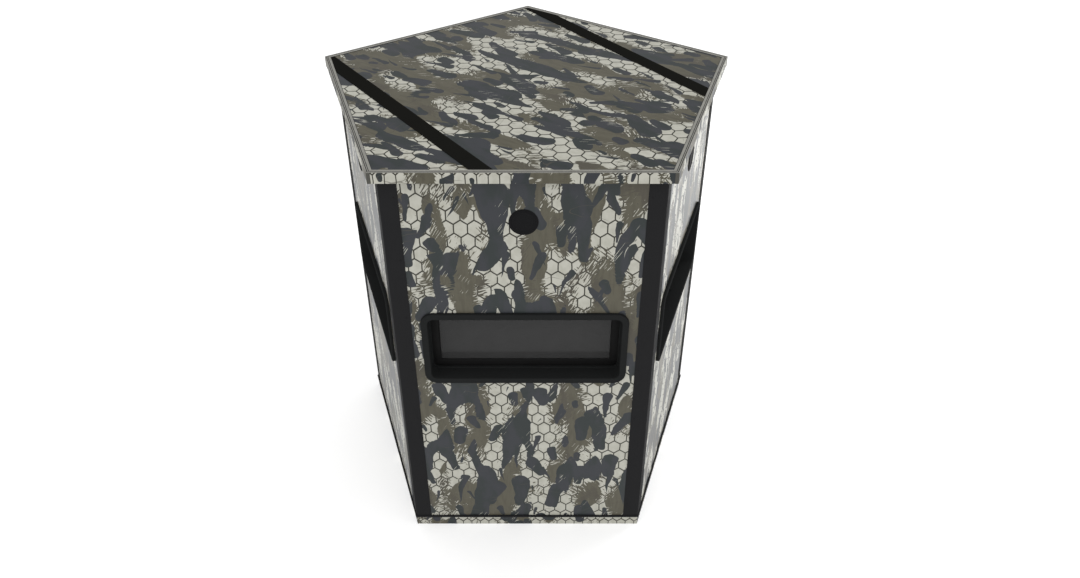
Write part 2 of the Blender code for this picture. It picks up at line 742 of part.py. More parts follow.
def make_levers(frame):
    """The outside lever carries the square spindle, and the inside lever slips over its end."""
    axis = (LEVER_X, 0, LEVER_Z)
    x, z = LEVER_X, LEVER_Z
    face = -JAMB_PROUD - GAP
    low, high = z - LEVER_HALF_HEIGHT, z + LEVER_HALF_HEIGHT
    hub = cylinder("hub", (x, face - LEVER_FAR, z), (x, face, z), HUB_RADIUS, HUB_SEGMENTS)
    arm = box("arm", (x, face - LEVER_FAR, low), (x + LEVER_REACH, face - LEVER_NEAR, high))
    spindle = box(
        "spindle",
        (x - SPINDLE_HALF, face - SPINDLE_ROOT, z - SPINDLE_HALF),
        (x + SPINDLE_HALF, SLAB_BACK + SPINDLE_INSIDE, z + SPINDLE_HALF),
    )
    outside = joined(hub, arm, spindle)
    place(finish(outside, "door_lever_outside", "hardware"), frame, axis)
    back = SLAB_BACK + GAP
    hub = cylinder("hub", (x, back, z), (x, back + LEVER_FAR, z), HUB_RADIUS, HUB_SEGMENTS)
    arm = box("arm", (x, back + LEVER_NEAR, low), (x + LEVER_REACH, back + LEVER_FAR, high))
    square = SPINDLE_HALF + SPINDLE_PLAY
    socket = box(
        "square",
        (x - square, back - CUT_PAST, z - square),
        (x + square, back + SPINDLE_SOCKET, z + square),
    )
    inside = cut(joined(hub, arm), socket)
    place(finish(inside, "door_lever_inside", "hardware"), frame, axis)


def make_bolt(frame):
    bolt = bolt_box("bolt", BOLT_FRONT, BOLT_BACK, (BOLT_HALF_GAUGE, BOLT_HALF_HEIGHT))
    place(finish(bolt, "door_bolt", "steel"), frame, (BOLT_FRONT, BOLT_DEPTH, LEVER_Z))


def make_door(frame):
    axis = (DOOR_HINGE_X, DOOR_HINGE_DEPTH, DOOR_Z)
    make_door_frame(frame)
    make_door_panel(frame, axis)
    for level, height in DOOR_HINGES.items():
        make_door_hinge(level, height, frame, axis)
    make_levers(frame)
    make_bolt(frame)


def main():
    clear_scene()
    make_floor()
    make_base_channel()
    for corner in CORNERS:
        make_corner_trim(corner)
    make_roof()
    for wall in WALLS:
        frame = wall_frame(wall)
        if wall == DOOR_WALL:
            make_door_wall(wall, frame)
            make_door(frame)
            continue
        make_window_wall(wall, frame)
        make_window_frame(wall, frame)
        make_window_clamp(wall, frame)
        make_sash(wall, frame)
        make_hinge_rod(wall, frame)
        make_window_latch(wall, frame)
        make_vent(wall, frame)


main()
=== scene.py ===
"""How a five-sided hard-walled hunting blind looks: fittings, procedural materials, a studio and a camera.

Each wall has its own space, as the frame's walls do: X runs to the right as seen from outside, Y runs into
the cabin from the wall's outer face, and Z runs up. Lengths are in metres.
"""

import json
import math

import bmesh
import bpy
from mathutils import Matrix, Vector

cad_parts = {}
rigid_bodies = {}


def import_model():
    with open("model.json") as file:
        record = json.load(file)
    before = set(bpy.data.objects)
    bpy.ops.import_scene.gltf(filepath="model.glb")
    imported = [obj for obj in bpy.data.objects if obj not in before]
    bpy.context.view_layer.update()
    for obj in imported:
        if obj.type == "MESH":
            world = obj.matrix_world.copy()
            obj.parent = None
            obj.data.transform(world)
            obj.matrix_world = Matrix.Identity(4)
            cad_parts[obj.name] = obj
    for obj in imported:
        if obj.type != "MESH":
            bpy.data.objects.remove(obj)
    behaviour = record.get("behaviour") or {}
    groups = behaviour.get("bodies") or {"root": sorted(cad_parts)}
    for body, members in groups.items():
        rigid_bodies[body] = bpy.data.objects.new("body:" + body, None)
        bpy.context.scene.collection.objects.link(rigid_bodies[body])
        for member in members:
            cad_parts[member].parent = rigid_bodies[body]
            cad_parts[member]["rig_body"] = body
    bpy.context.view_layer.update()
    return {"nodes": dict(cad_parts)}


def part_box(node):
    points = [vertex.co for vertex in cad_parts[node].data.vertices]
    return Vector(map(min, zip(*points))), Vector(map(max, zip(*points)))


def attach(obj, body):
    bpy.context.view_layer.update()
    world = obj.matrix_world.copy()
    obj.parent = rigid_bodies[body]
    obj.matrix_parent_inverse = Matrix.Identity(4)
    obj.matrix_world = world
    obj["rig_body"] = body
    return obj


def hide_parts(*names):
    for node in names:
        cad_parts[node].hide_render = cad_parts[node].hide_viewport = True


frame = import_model()

UP = Vector((0, 0, 1))
OUTWARDS, INWARDS = (0, -1, 0), (0, 1, 0)  # in a wall's own space
HALF_ANGLE = math.pi / 5
FACING = {"front": -90, "right": -18, "rear_right": 54, "rear_left": 126, "left": 198}
WINDOW_WALLS = ("front", "right", "left", "rear_left")
DOOR_WALL = "rear_right"
CORNERS = {"front_right": -54, "right": 18, "back": 90, "left": 162, "front_left": 234}

# What the frame says about the walls' places.
WALL_APOTHEM = -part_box("wall_front")[0].y
WALL_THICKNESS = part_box("wall_front")[1].y + WALL_APOTHEM
ROOF_APOTHEM = -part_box("roof_edge_trim")[0].y
ROOF_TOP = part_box("roof_edge_trim")[1].z


def srgb(*values):
    """A linear colour from display values of 0 to 255."""
    shares = [v / 255 for v in values]
    linear = [v / 12.92 if v <= 0.04045 else ((v + 0.055) / 1.055) ** 2.4 for v in shares]
    return (*linear, 1)


def heading(angle, length=1.0):
    """A plan vector of this length, this far round from X."""
    return Vector((length * math.cos(angle), length * math.sin(angle)))


def outward(wall):
    """The way that a wall faces."""
    return heading(math.radians(FACING[wall])).to_3d()


def rightward(wall):
    """The way along a wall, to the right as seen from outside."""
    n = outward(wall)
    return Vector((-n.y, n.x, 0))


def wall_matrix(wall):
    """From the wall's own space to the row frame."""
    n, u = outward(wall), rightward(wall)
    o = n * WALL_APOTHEM
    return Matrix(((u.x, -n.x, 0, o.x), (u.y, -n.y, 0, o.y), (0, 0, 1, 0), (0, 0, 0, 1)))


# ---------------- shader graphs


class Graph:
    """Short calls for building a node tree. Each returns a socket, and takes sockets or plain values."""

    def __init__(self, tree):
        self.tree = tree

    def node(self, kind, inputs=(), **settings):
        made = self.tree.nodes.new(kind)
        for name, value in settings.items():
            setattr(made, name, value)
        for key, value in dict(inputs).items():
            self.feed(made.inputs[key], value)
        return made

    def feed(self, socket, value):
        if isinstance(value, bpy.types.NodeSocket):
            self.tree.links.new(value, socket)
        elif value is not None:
            socket.default_value = value

    def surface(self, colour, roughness, specular=0.5, normal=None, **others):
        """Feeds the material's shader. others are its inputs' names with _ for a space."""
        shader = self.tree.nodes["Principled BSDF"]
        inputs = {"Base Color": colour, "Roughness": roughness, "Specular IOR Level": specular}
        for key, value in {**inputs, "Normal": normal, **others}.items():
            self.feed(shader.inputs[key.replace("_", " ")], value)

    def math(self, operation, a, b=None, c=None):
        made = self.node("ShaderNodeMath", {0: a, 1: b, 2: c}, operation=operation)
        return made.outputs[0]

    def vector(self, operation, a, b=None, c=None):
        made = self.node("ShaderNodeVectorMath", {0: a, 1: b, 2: c}, operation=operation)
        scalar = operation in ("DOT_PRODUCT", "LENGTH")
        return made.outputs["Value" if scalar else "Vector"]

    def noise(self, place, scale, detail=2.0, roughness=0.5, colour=False):
        inputs = {"Vector": place, "Scale": scale, "Detail": detail, "Roughness": roughness}
        made = self.node("ShaderNodeTexNoise", inputs, noise_dimensions="3D")
        return made.outputs["Color" if colour else "Fac"]

    def step(self, value, low, high, to_low=0.0, to_high=1.0):
        """A smooth step of value between low and high."""
        inputs = {0: value, 1: low, 2: high, 3: to_low, 4: to_high}
        made = self.node("ShaderNodeMapRange", inputs, interpolation_type="SMOOTHSTEP")
        return made.outputs["Result"]

    def blend(self, data_type, factor, a, b):
        """From a to b by a factor. A Mix node has its own two inputs and output for each data type."""
        first, out = {"FLOAT": (2, 0), "VECTOR": (4, 1), "RGBA": (6, 2)}[data_type]
        made = self.node("ShaderNodeMix", data_type=data_type)
        for key, value in ((0, factor), (first, a), (first + 1, b)):
            self.feed(made.inputs[key], value)
        return made.outputs[out]

    def mix(self, factor, a, b):
        return self.blend("RGBA", factor, a, b)

    def between(self, factor, a, b):
        return self.blend("FLOAT", factor, a, b)

    def pack(self, x, y, z=0.0):
        return self.node("ShaderNodeCombineXYZ", {0: x, 1: y, 2: z}).outputs[0]

    def unpack(self, vector):
        return self.node("ShaderNodeSeparateXYZ", {0: vector}).outputs

    def turned(self, vector, angle):
        """The vector turned about Z by an angle, which may vary from place to place."""
        inputs = {"Vector": vector, "Angle": angle}
        return self.node("ShaderNodeVectorRotate", inputs, rotation_type="Z_AXIS").outputs[0]

    def stretched(self, place, across, along, shift=(0.0, 0.0)):
        """Pattern coordinates in which one unit is across by along metres."""
        scaled = self.vector("MULTIPLY", place, (1 / across, 1 / along, 1.0))
        return self.vector("ADD", scaled, (shift[0], shift[1], 0.0))

    def field(self, place, across, along, shift=(0.0, 0.0), detail=1.0, roughness=0.5):
        """Noise whose blobs are about across by along metres."""
        return self.noise(self.stretched(place, across, along, shift), 1.0, detail, roughness)

    def object_place(self):
        return self.node("ShaderNodeTexCoord").outputs["Object"]

    def bump(self, height, strength):
        inputs = {"Height": height, "Distance": 0.0004, "Strength": strength}
        return self.node("ShaderNodeBump", inputs).outputs[0]


# The print's colours.
CREAM = srgb(179, 178, 168)
CREAM_DULL = srgb(168, 167, 156)
HEX_LINE = srgb(48, 47, 40)
SLATE = srgb(54, 56, 60)
SLATE_DARK = srgb(47, 52, 52)
OLIVE = srgb(87, 84, 72)
OLIVE_DARK = srgb(76, 73, 62)
UMBER = srgb(74, 70, 63)
# A honeycomb's cells: the width between their upright flats, and the pitch from one row to the next.
WALL_CELLS = (0.0576, 0.0637)
ROOF_CELLS = (0.0644, 0.0565)
EDGE_CELLS = (0.0450, 0.0637)
ROW_PITCH = math.sqrt(3) / 2  # from one row to the next in a regular honeycomb, in cell widths
HEX_LINE_SHARE = 0.047  # half a line's width, in cell widths
HEX_LINE_BLUR = 0.012
# The drops: how far they lean each way, their least length, how much fuller one end is, their scatter.
DROP_LEAN = 0.55
DROP_LENGTH = 0.01
DROP_TAPER = 0.12
DROP_SCATTER = 0.75
# The brush strokes: which ways they lean, and the size of one dash.
STROKE_LEANS = (0.85, -0.25, -1.05)
DASH = (0.036, 0.0066)


def in_cells(g, across, along, cells):
    """Where a place is in a honeycomb, in widths of a regular cell."""
    width, pitch = cells
    x = g.math("MULTIPLY", across, 1 / width)
    return g.pack(x, g.math("MULTIPLY", along, ROW_PITCH / pitch))


def hexagon_lines(g, p):
    """1 on the lines of a honeycomb whose cells have upright flats one unit apart, and 0 in them."""
    half = (0.5, ROW_PITCH, 0.0)
    size, zero = (1.0, 2 * ROW_PITCH, 1.0), (0.0, 0.0, 0.0)
    # the cells' middles make two rectangular grids, half a step apart both ways
    grids = []
    for start in (p, g.vector("SUBTRACT", p, half)):
        local = g.vector("SUBTRACT", g.vector("WRAP", start, size, zero), half)
        grids.append(g.vector("MULTIPLY", local, (1.0, 1.0, 0.0)))
    one, other = grids
    nearer = g.math("LESS_THAN", g.vector("LENGTH", one), g.vector("LENGTH", other))
    local = g.vector("ABSOLUTE", g.blend("VECTOR", nearer, other, one))
    reach = g.math("MAXIMUM", g.unpack(local)[0], g.vector("DOT_PRODUCT", local, half))
    edge = 0.5 - HEX_LINE_SHARE
    return g.step(reach, edge - HEX_LINE_BLUR, edge + HEX_LINE_BLUR)


def drops(g, place, cell, shift, most):
    """How far a place is inside one of a scatter of leaning drops, in metres.

    There is one drop in each cell (across, along). most is the most that (radius, length) can be.
    """
    across, along = cell
    p = g.stretched(place, across, along, shift)
    inputs = {"Vector": p, "Scale": 1.0, "Randomness": DROP_SCATTER}
    cells = g.node("ShaderNodeTexVoronoi", inputs, voronoi_dimensions="2D", feature="F1")
    seat = cells.outputs["Position"]
    local = g.vector("MULTIPLY", g.vector("SUBTRACT", p, seat), (across, along, 0.0))
    chance = g.node("ShaderNodeSeparateColor", {0: cells.outputs["Color"]}).outputs
    lean = g.math("MULTIPLY_ADD", chance[0], 2 * DROP_LEAN, -DROP_LEAN)
    local = g.unpack(g.turned(local, lean))
    length = g.math("MULTIPLY_ADD", chance[1], most[1], DROP_LENGTH)
    over = g.math("MAXIMUM", g.math("SUBTRACT", g.math("ABSOLUTE", local[1]), length), 0.0)
    reach = g.vector("LENGTH", g.pack(local[0], over))
    taper = g.math("MULTIPLY", local[1], DROP_TAPER)
    radius = g.math("ADD", g.math("MULTIPLY", chance[2], most[0]), taper)
    return g.math("SUBTRACT", radius, reach)


def brush_strokes(g, raw):
    """Thin dashes that lean one way here and another there, from about -0.5 to 0.5."""
    dashes = None
    for k, lean in enumerate(STROKE_LEANS):
        stroke = g.field(g.turned(raw, lean), *DASH, (3.1 * k, 7.7), 1.0, 0.4)
        if dashes is None:
            dashes = stroke
            continue
        here = g.field(raw, 0.15, 0.20, (8.0 * k, 2.0), 0.0)
        dashes = g.between(g.step(here, 0.47, 0.53), dashes, stroke)
    return g.math("SUBTRACT", dashes, 0.5)


def sway(g, raw, scale, detail):
    """A vector that wanders, with parts from about -0.5 to 0.5."""
    return g.vector("SUBTRACT", g.noise(raw, scale, detail, colour=True), (0.5, 0.5, 0.5))


def pale_layer(g, raw, cells, quiver):
    lines = hexagon_lines(g, g.vector("ADD", cells, g.vector("MULTIPLY", quiver, (0.06, 0.05, 0.0))))
    shade = g.field(raw, 0.03, 0.05, detail=2.0)
    return g.mix(lines, g.mix(g.step(shade, 0.35, 0.7), CREAM, CREAM_DULL), HEX_LINE)


def olive_layer(g, raw, place, brush, ragged, colour):
    """Olive patches with brushed ends, and umber shadows of strokes inside them."""
    swing = g.math("MULTIPLY", brush, g.between(ragged, 0.02, 0.55))
    olive = g.math("ADD", g.field(place, 0.165, 0.40, (11.3, 4.2), 1.3, 0.45), swing)
    olive = g.step(olive, 0.490, 0.497)
    grain = g.step(g.field(raw, 0.02, 0.11, (2.0, 9.0), 3.0, 0.6), 0.42, 0.62)
    colour = g.mix(olive, colour, g.mix(0.55, OLIVE, g.mix(grain, OLIVE, OLIVE_DARK)))
    shadow = g.field(place, 0.10, 0.26, (1.7, 23.0), 1.5)
    shadow = g.math("ADD", shadow, g.math("MULTIPLY", brush, 0.34))
    shadow = g.math("MULTIPLY", g.step(shadow, 0.600, 0.612), 0.6)
    return g.mix(g.math("MULTIPLY", shadow, olive), colour, UMBER)


def slate_layer(g, raw, place, brush, ragged, colour):
    """Large slate drifts, and two scatters of slate drops."""
    swing = g.math("MULTIPLY", brush, g.between(ragged, 0.0, 0.05))
    drift = g.math("ADD", g.field(place, 0.112, 0.34, (7.9, 16.4), 0.9, 0.4), swing)
    first = drops(g, place, (0.150, 0.250), (0.0, 0.0), (0.040, 0.085))
    second = drops(g, place, (0.120, 0.210), (4.4, 8.8), (0.026, 0.060))
    dropped = g.step(g.math("MAXIMUM", first, second), -0.0006, 0.0006)
    slate = g.math("MAXIMUM", g.step(drift, 0.572, 0.577), dropped)
    tone = g.step(g.field(raw, 0.06, 0.15, (6.0, 2.0), 2.0), 0.4, 0.62)
    return g.mix(slate, colour, g.mix(tone, SLATE, SLATE_DARK))


def scratch_layer(g, raw, place, colour):
    """A few thin strokes over everything, dark ones that curve and pale ones that are straight."""
    curve = g.field(place, 0.16, 0.05, (9.0, 31.0), 0.0)
    curve = g.math("ABSOLUTE", g.math("SUBTRACT", curve, 0.5))
    where = g.step(g.field(raw, 0.12, 0.12, (14.0, 3.0), 0.0), 0.60, 0.66)
    dark = g.math("MULTIPLY", g.step(curve, 0.012, 0.005), g.math("MULTIPLY", where, 0.6))
    colour = g.mix(dark, colour, UMBER)
    scratch = g.field(g.turned(raw, 0.55), 0.0036, 0.075, (3.0, 5.0), 0.0)
    where = g.step(g.field(raw, 0.09, 0.13, (27.0, 8.0), 0.0), 0.62, 0.68)
    pale = g.math("MULTIPLY", g.step(scratch, 0.70, 0.72), where)
    return g.mix(pale, colour, CREAM_DULL)


def camo_group():
    """A generic camouflage: a pale honeycomb under ragged olive patches and smooth slate drops.

    It runs along Y. Place is in metres, and Cells is the place in widths of a regular honeycomb cell.
    """
    tree = bpy.data.node_groups.new("camo_pattern", "ShaderNodeTree")
    tree.interface.new_socket("Place", in_out="INPUT", socket_type="NodeSocketVector")
    tree.interface.new_socket("Cells", in_out="INPUT", socket_type="NodeSocketVector")
    tree.interface.new_socket("Color", in_out="OUTPUT", socket_type="NodeSocketColor")
    g = Graph(tree)
    raw, cells = g.node("NodeGroupInput").outputs[:2]
    wander, quiver = sway(g, raw, 7.0, 2.0), sway(g, raw, 34.0, 1.0)
    place = g.vector("ADD", raw, g.vector("MULTIPLY", wander, (0.05, 0.06, 0.0)))
    place = g.vector("ADD", place, g.vector("MULTIPLY", quiver, (0.006, 0.009, 0.0)))
    brush = brush_strokes(g, raw)
    ragged = g.step(g.field(raw, 0.11, 0.14, (5.3, 1.9)), 0.40, 0.62)
    colour = pale_layer(g, raw, cells, quiver)
    colour = olive_layer(g, raw, place, brush, ragged, colour)
    colour = slate_layer(g, raw, place, brush, ragged, colour)
    colour = scratch_layer(g, raw, place, colour)
    g.feed(g.node("NodeGroupOutput").inputs[0], colour)
    return tree


def new_material(name):
    """A material and the graph that builds it."""
    made = bpy.data.materials.new(name)
    made.use_nodes = True
    return made, Graph(made.node_tree)


CAMO = camo_group()
VINYL_ROUGHNESS = 0.34
LAMINATE_ROUGHNESS = 0.75
VINYL_SPECULAR = 0.20
ROOF_SPECULAR = 0.05
CHARCOAL = srgb(52, 53, 54)
CHARCOAL_LIGHT = srgb(62, 63, 64)


def camo_pattern(g, place, cells):
    """The camouflage's colour at a place, whose honeycomb place is cells."""
    pattern = g.node("ShaderNodeGroup")
    pattern.node_tree = CAMO
    g.feed(pattern.inputs[0], place)
    g.feed(pattern.inputs[1], cells)
    return pattern.outputs["Color"]


def camo_material(name, directions, shift, outside, cells, specular=VINYL_SPECULAR):
    """Printed vinyl where outside says, and charcoal laminate elsewhere.

    directions are the pattern's across and along in the row frame. outside is (direction, distance): the
    vinyl is where a place lies further along direction than distance. cells is the honeycomb's own across
    and along, and its size.
    """
    made, g = new_material(name)
    at = g.object_place()

    def along(direction):
        return g.vector("DOT_PRODUCT", at, tuple(direction))

    s, t = (g.math("ADD", along(way), start) for way, start in zip(directions, shift))
    across_cells, along_cells, size = cells
    cell_place = in_cells(g, along(across_cells), along(along_cells), size)
    pebble = g.noise(at, 420.0, 2.0)
    laminate = g.mix(g.step(pebble, 0.40, 0.65), CHARCOAL, CHARCOAL_LIGHT)
    direction, distance = outside
    skin = g.math("GREATER_THAN", along(direction), distance)
    colour = g.mix(skin, laminate, camo_pattern(g, g.pack(s, t), cell_place))
    roughness = g.between(skin, LAMINATE_ROUGHNESS, VINYL_ROUGHNESS)
    g.surface(colour, roughness, specular, g.bump(g.noise(at, 260.0, 3.0), 0.35))
    return made


def black_finish(name, colour, light, roughness, grain, specular, slot="black_moulding"):
    """Black coat or moulded plastic, with a fine grain in its gloss, colour and surface, and its slot."""
    made, g = new_material(name)
    at = g.object_place()
    speckle = g.noise(at, grain, 3.0)
    cloud = g.noise(at, 9.0, 3.0)
    tone = g.math("MULTIPLY", g.step(speckle, 0.35, 0.7), g.step(cloud, 0.2, 0.8, 0.5, 1.0))
    colour = g.mix(tone, srgb(*colour), srgb(*light))
    gloss = g.step(cloud, 0.3, 0.7, roughness - 0.06, roughness + 0.06)
    g.surface(colour, gloss, specular, g.bump(speckle, 0.5))
    return made, slot


def glass_material():
    """Dark tinted glass, which lets a little light through."""
    made, g = new_material("tinted_glass")
    haze = g.noise(g.object_place(), 14.0, 3.0)
    tint = g.mix(g.step(haze, 0.3, 0.7), srgb(59, 59, 59), srgb(62, 62, 62))
    g.surface(tint, g.step(haze, 0.3, 0.8, 0.04, 0.09), 0.10, Alpha=0.88)
    return made


def steel_material():
    """Zinc-plated steel, brushed along Z."""
    made, g = new_material("zinc_plate")
    fine = g.noise(g.vector("MULTIPLY", g.object_place(), (40.0, 40.0, 900.0)), 1.0, 3.0)
    plate = g.mix(g.step(fine, 0.3, 0.7), srgb(176, 177, 178), srgb(200, 201, 203))
    g.surface(plate, g.step(fine, 0.3, 0.7, 0.26, 0.40), Metallic=1.0)
    return made


# Where each wall's pattern starts, so that no two walls show the same part of it.
WALL_SHIFT = {
    "front": (3.10, 0.40), "right": (9.70, 2.20), "rear_right": (17.3, 5.90),
    "rear_left": (24.9, 8.10), "left": (31.7, 3.30),
}
# Each: two colours, roughness, the grain's scale, specular level and perhaps a slot.
BLACK_TRIM = black_finish("black_powder_coat", (34, 34, 35), (40, 40, 41), 0.62, 700.0, 0.02, "black_trim")
MOULDING = black_finish("black_moulding", (20, 20, 20), (28, 28, 28), 0.50, 420.0, 0.16)
BEZEL_BLACK = black_finish("bezel_moulding", (34, 35, 35), (39, 40, 40), 0.65, 420.0, 0.0)
SASH_BLACK = black_finish("sash_moulding", (24, 24, 24), (30, 30, 30), 0.55, 420.0, 0.05)
VENT_BLACK = black_finish("vent_moulding", (26, 26, 27), (31, 31, 32), 0.55, 420.0, 0.01)
BATTEN = black_finish("seam_strip", (24, 24, 22), (28, 28, 26), 0.70, 500.0, 0.0, "black_trim")
RUBBER = black_finish("rubber_seal", (22, 22, 22), (28, 28, 28), 0.70, 300.0, 0.08)
MAT = black_finish("floor_mat_rubber", (34, 34, 34), (44, 44, 44), 0.80, 160.0, 0.15)
HARDWARE = black_finish("black_hardware", (24, 24, 25), (36, 36, 38), 0.38, 800.0, 0.35, "hardware")
CAP_GREY = black_finish("corner_cap_coat", (74, 73, 68), (84, 83, 78), 0.55, 500.0, 0.12, "edge_trim")
STEEL = (steel_material(), "steel")
GLASS = glass_material()


EDGE_SHIFT = 7.3  # from where one side of a ring starts in the pattern to where the next does
EDGE_SKIN = 0.0016  # how deep the print goes


def edge_material(name, shift, apothem, plain_colours, below=None):
    """For a ring round the plan: camouflage on its outer face, and a plain satin coat on its other faces.

    The camouflage stops at the height that below gives.
    """
    made, g = new_material(name)
    at = g.object_place()
    best = along = None
    for k, wall in enumerate(FACING):
        reach = g.vector("DOT_PRODUCT", at, tuple(outward(wall)))
        s = g.math("ADD", g.vector("DOT_PRODUCT", at, tuple(rightward(wall))), EDGE_SHIFT * k)
        if best is None:
            best, along = reach, s
            continue
        along = g.between(g.math("GREATER_THAN", reach, best), along, s)
        best = g.math("MAXIMUM", best, reach)
    height = g.unpack(at)[2]
    place = g.pack(g.math("ADD", along, shift[0]), g.math("ADD", height, shift[1]))
    camo = camo_pattern(g, place, in_cells(g, along, height, EDGE_CELLS))
    cloud = g.noise(at, 30.0, 3.0)
    plain = g.mix(g.step(cloud, 0.3, 0.7), *(srgb(*c) for c in plain_colours))
    skin = g.math("GREATER_THAN", best, apothem - EDGE_SKIN)
    if below is not None:
        skin = g.math("MULTIPLY", skin, g.math("LESS_THAN", height, below))
    roughness = g.step(cloud, 0.3, 0.7, 0.44, 0.54)
    g.surface(g.mix(skin, plain, camo), roughness, 0.12, g.bump(g.noise(at, 260.0, 3.0), 0.3))
    return made


RIM = edge_material(
    "vinyl_rim", (54.3, 3.6), ROOF_APOTHEM, ((138, 137, 131), (128, 127, 121)), ROOF_TOP - 0.0008
), "edge_trim"
FLOOR_EDGE = edge_material(
    "vinyl_floor", (68.0, 1.69), -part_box("floor_panel")[0].y, ((60, 60, 60), (70, 70, 70))
)
# Where the roof's pattern starts, how far its honeycomb is turned, and how deep the print goes.
ROOF_SHIFT = (41.0, 12.0)
ROOF_CELL_TURN = math.radians(3.6)
ROOF_PRINT, WALL_PRINT = 0.004, 0.001


def paint(node, material):
    """Gives a CAD node its material. Its mesh stays as it is."""
    obj = frame["nodes"][node]
    for held in obj.material_slots:
        held.link = "OBJECT"
        held.material = material


def paint_nodes():
    for wall in FACING:
        right = rightward(wall)
        made = camo_material(
            f"vinyl_{wall}", (right, UP), WALL_SHIFT[wall], (outward(wall), WALL_APOTHEM - WALL_PRINT),
            (right, UP, WALL_CELLS),
        )
        paint(f"wall_{wall}", made)
        if wall == DOOR_WALL:
            paint("door_panel", made)
    along = heading(-HALF_ANGLE).to_3d()
    across = Vector((-along.y, along.x, 0))
    turn = Matrix.Rotation(ROOF_CELL_TURN, 3, "Z")
    cells = (turn @ Vector((0, 1, 0)), turn @ Vector((1, 0, 0)), ROOF_CELLS)
    roof = camo_material(
        "vinyl_roof", (across, along), ROOF_SHIFT, (UP, ROOF_TOP - ROOF_PRINT), cells, ROOF_SPECULAR
    )
    for side in ("left", "middle", "right"):
        paint(f"roof_panel_{side}", roof)
    paint("floor_panel", FLOOR_EDGE)
    for wall in WINDOW_WALLS:
        paint(f"window_glass_{wall}", GLASS)
        paint(f"window_hinge_rod_{wall}", STEEL[0])


# ---------------- mesh helpers


def wall_box(node, wall):
    """The node's lowest and highest corner in a wall's own space, at rest."""
    inverse = wall_matrix(wall).inverted()
    points = [inverse @ v.co for v in frame["nodes"][node].data.vertices]
    return [Vector([pick(p[i] for p in points) for i in range(3)]) for pick in (min, max)]


def body_of(node):
    """The moving body, or the shell, that a CAD node rides on."""
    return frame["nodes"][node]["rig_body"]


def filleted(points, radii, steps=3):
    """A closed outline with each corner rounded to its radius, where there is room."""
    count = len(points)
    radii = [radii] * count if isinstance(radii, (int, float)) else radii
    made = []
    for i in range(count):
        here = Vector(points[i])
        back, on = Vector(points[i - 1]) - here, Vector(points[(i + 1) % count]) - here
        if radii[i] <= 0 or back.length < 1e-9 or on.length < 1e-9:
            made.append(tuple(here))
            continue
        b, o = back.normalized(), on.normalized()
        half = math.acos(max(-1, min(1, b.dot(o)))) / 2
        if half < 0.01 or abs(half - math.pi / 2) < 0.01:
            made.append(tuple(here))
            continue
        reach = min(radii[i] / math.tan(half), back.length * 0.49, on.length * 0.49)
        radius = reach * math.tan(half)
        centre = here + (b + o).normalized() * (radius / math.sin(half))
        start, end = here + b * reach - centre, here + o * reach - centre
        a0 = math.atan2(start.y, start.x)
        swing = (math.atan2(end.y, end.x) - a0 + math.pi) % (2 * math.pi) - math.pi
        for k in range(steps + 1):
            a = a0 + swing * k / steps
            made.append((centre.x + radius * math.cos(a), centre.y + radius * math.sin(a)))
    return made


def rounded_rectangle(half_width, half_height, radius, segments):
    """The outline of a rectangle about its middle, with segments round each corner."""
    points = []
    for quarter, (sx, sz) in enumerate([(1, 1), (-1, 1), (-1, -1), (1, -1)]):
        for i in range(segments + 1):
            a = math.pi / 2 * (quarter + i / segments)
            x = sx * (half_width - radius) + radius * math.cos(a)
            points.append((x, sz * (half_height - radius) + radius * math.sin(a)))
    return points


def add_loops(shape, loops, cyclic):
    """Quads between consecutive closed loops of points. It is capped at both ends unless cyclic."""
    rows = [[shape.verts.new(p) for p in loop] for loop in loops]
    for low, high in zip(rows, rows[1:] + rows[:1] if cyclic else rows[1:]):
        for i in range(len(low)):
            j = (i + 1) % len(low)
            shape.faces.new((low[i], low[j], high[j], high[i]))
    if not cyclic:
        shape.faces.new(rows[0])
        shape.faces.new(rows[-1])


END_EASE = 0.0006


def add_bar(shape, outline, low, high):
    """An outline raised along Z from low to high, with its two ends eased."""
    ease = min(END_EASE, (high - low) / 4)
    centre = Vector((sum(p[0] for p in outline), sum(p[1] for p in outline))) / len(outline)
    widest = max((Vector(p) - centre).length for p in outline)
    loops = []
    for level, inset in ((low, ease), (low + ease, 0), (high - ease, 0), (high, ease)):
        share = 1 - inset / widest
        loops.append([(*(centre + (Vector(p) - centre) * share), level) for p in outline])
    add_loops(shape, loops, cyclic=False)


def rectangle(low, high):
    """The outline between two corners."""
    return [(low[0], low[1]), (high[0], low[1]), (high[0], high[1]), (low[0], high[1])]


def add_box(shape, low, high, radius):
    """A box with its four edges along Z rounded and its ends eased."""
    add_bar(shape, filleted(rectangle(low, high), radius), low[2], high[2])


def add_turned(shape, centre, axis, profile, segments):
    """An open profile of (radius, height) turned about an axis, its ends on the axis or joined."""
    turn = Vector(axis).to_track_quat("Z", "Y")
    rows = []
    for radius, height in profile:
        angles = [2 * math.pi * i / segments for i in range(segments)] if radius > 1e-9 else [0.0]
        spots = [(radius * math.cos(a), radius * math.sin(a), height) for a in angles]
        rows.append([shape.verts.new(Vector(centre) + turn @ Vector(spot)) for spot in spots])
    for one, other in zip(rows, rows[1:] + rows[:1]):
        if len(one) == 1 and len(other) == 1:
            continue
        for i in range(segments):
            j = (i + 1) % segments
            ring = [one[i % len(one)], one[j % len(one)], other[j % len(other)], other[i % len(other)]]
            shape.faces.new(list(dict.fromkeys(ring)))


def add_screw(shape, place, axis, radius=0.0042, segments=14):
    """A pan head with a round socket, seated on a surface."""
    rise, seat = radius * 0.46, -0.0002
    head = ((0, 0.45), (0.36, 0.45), (0.40, 1), (0.70, 0.93), (0.93, 0.55), (1, 0.15))
    profile = [(radius * out, rise * up) for out, up in head] + [(radius, seat), (0, seat)]
    add_turned(shape, place, axis, profile, segments)


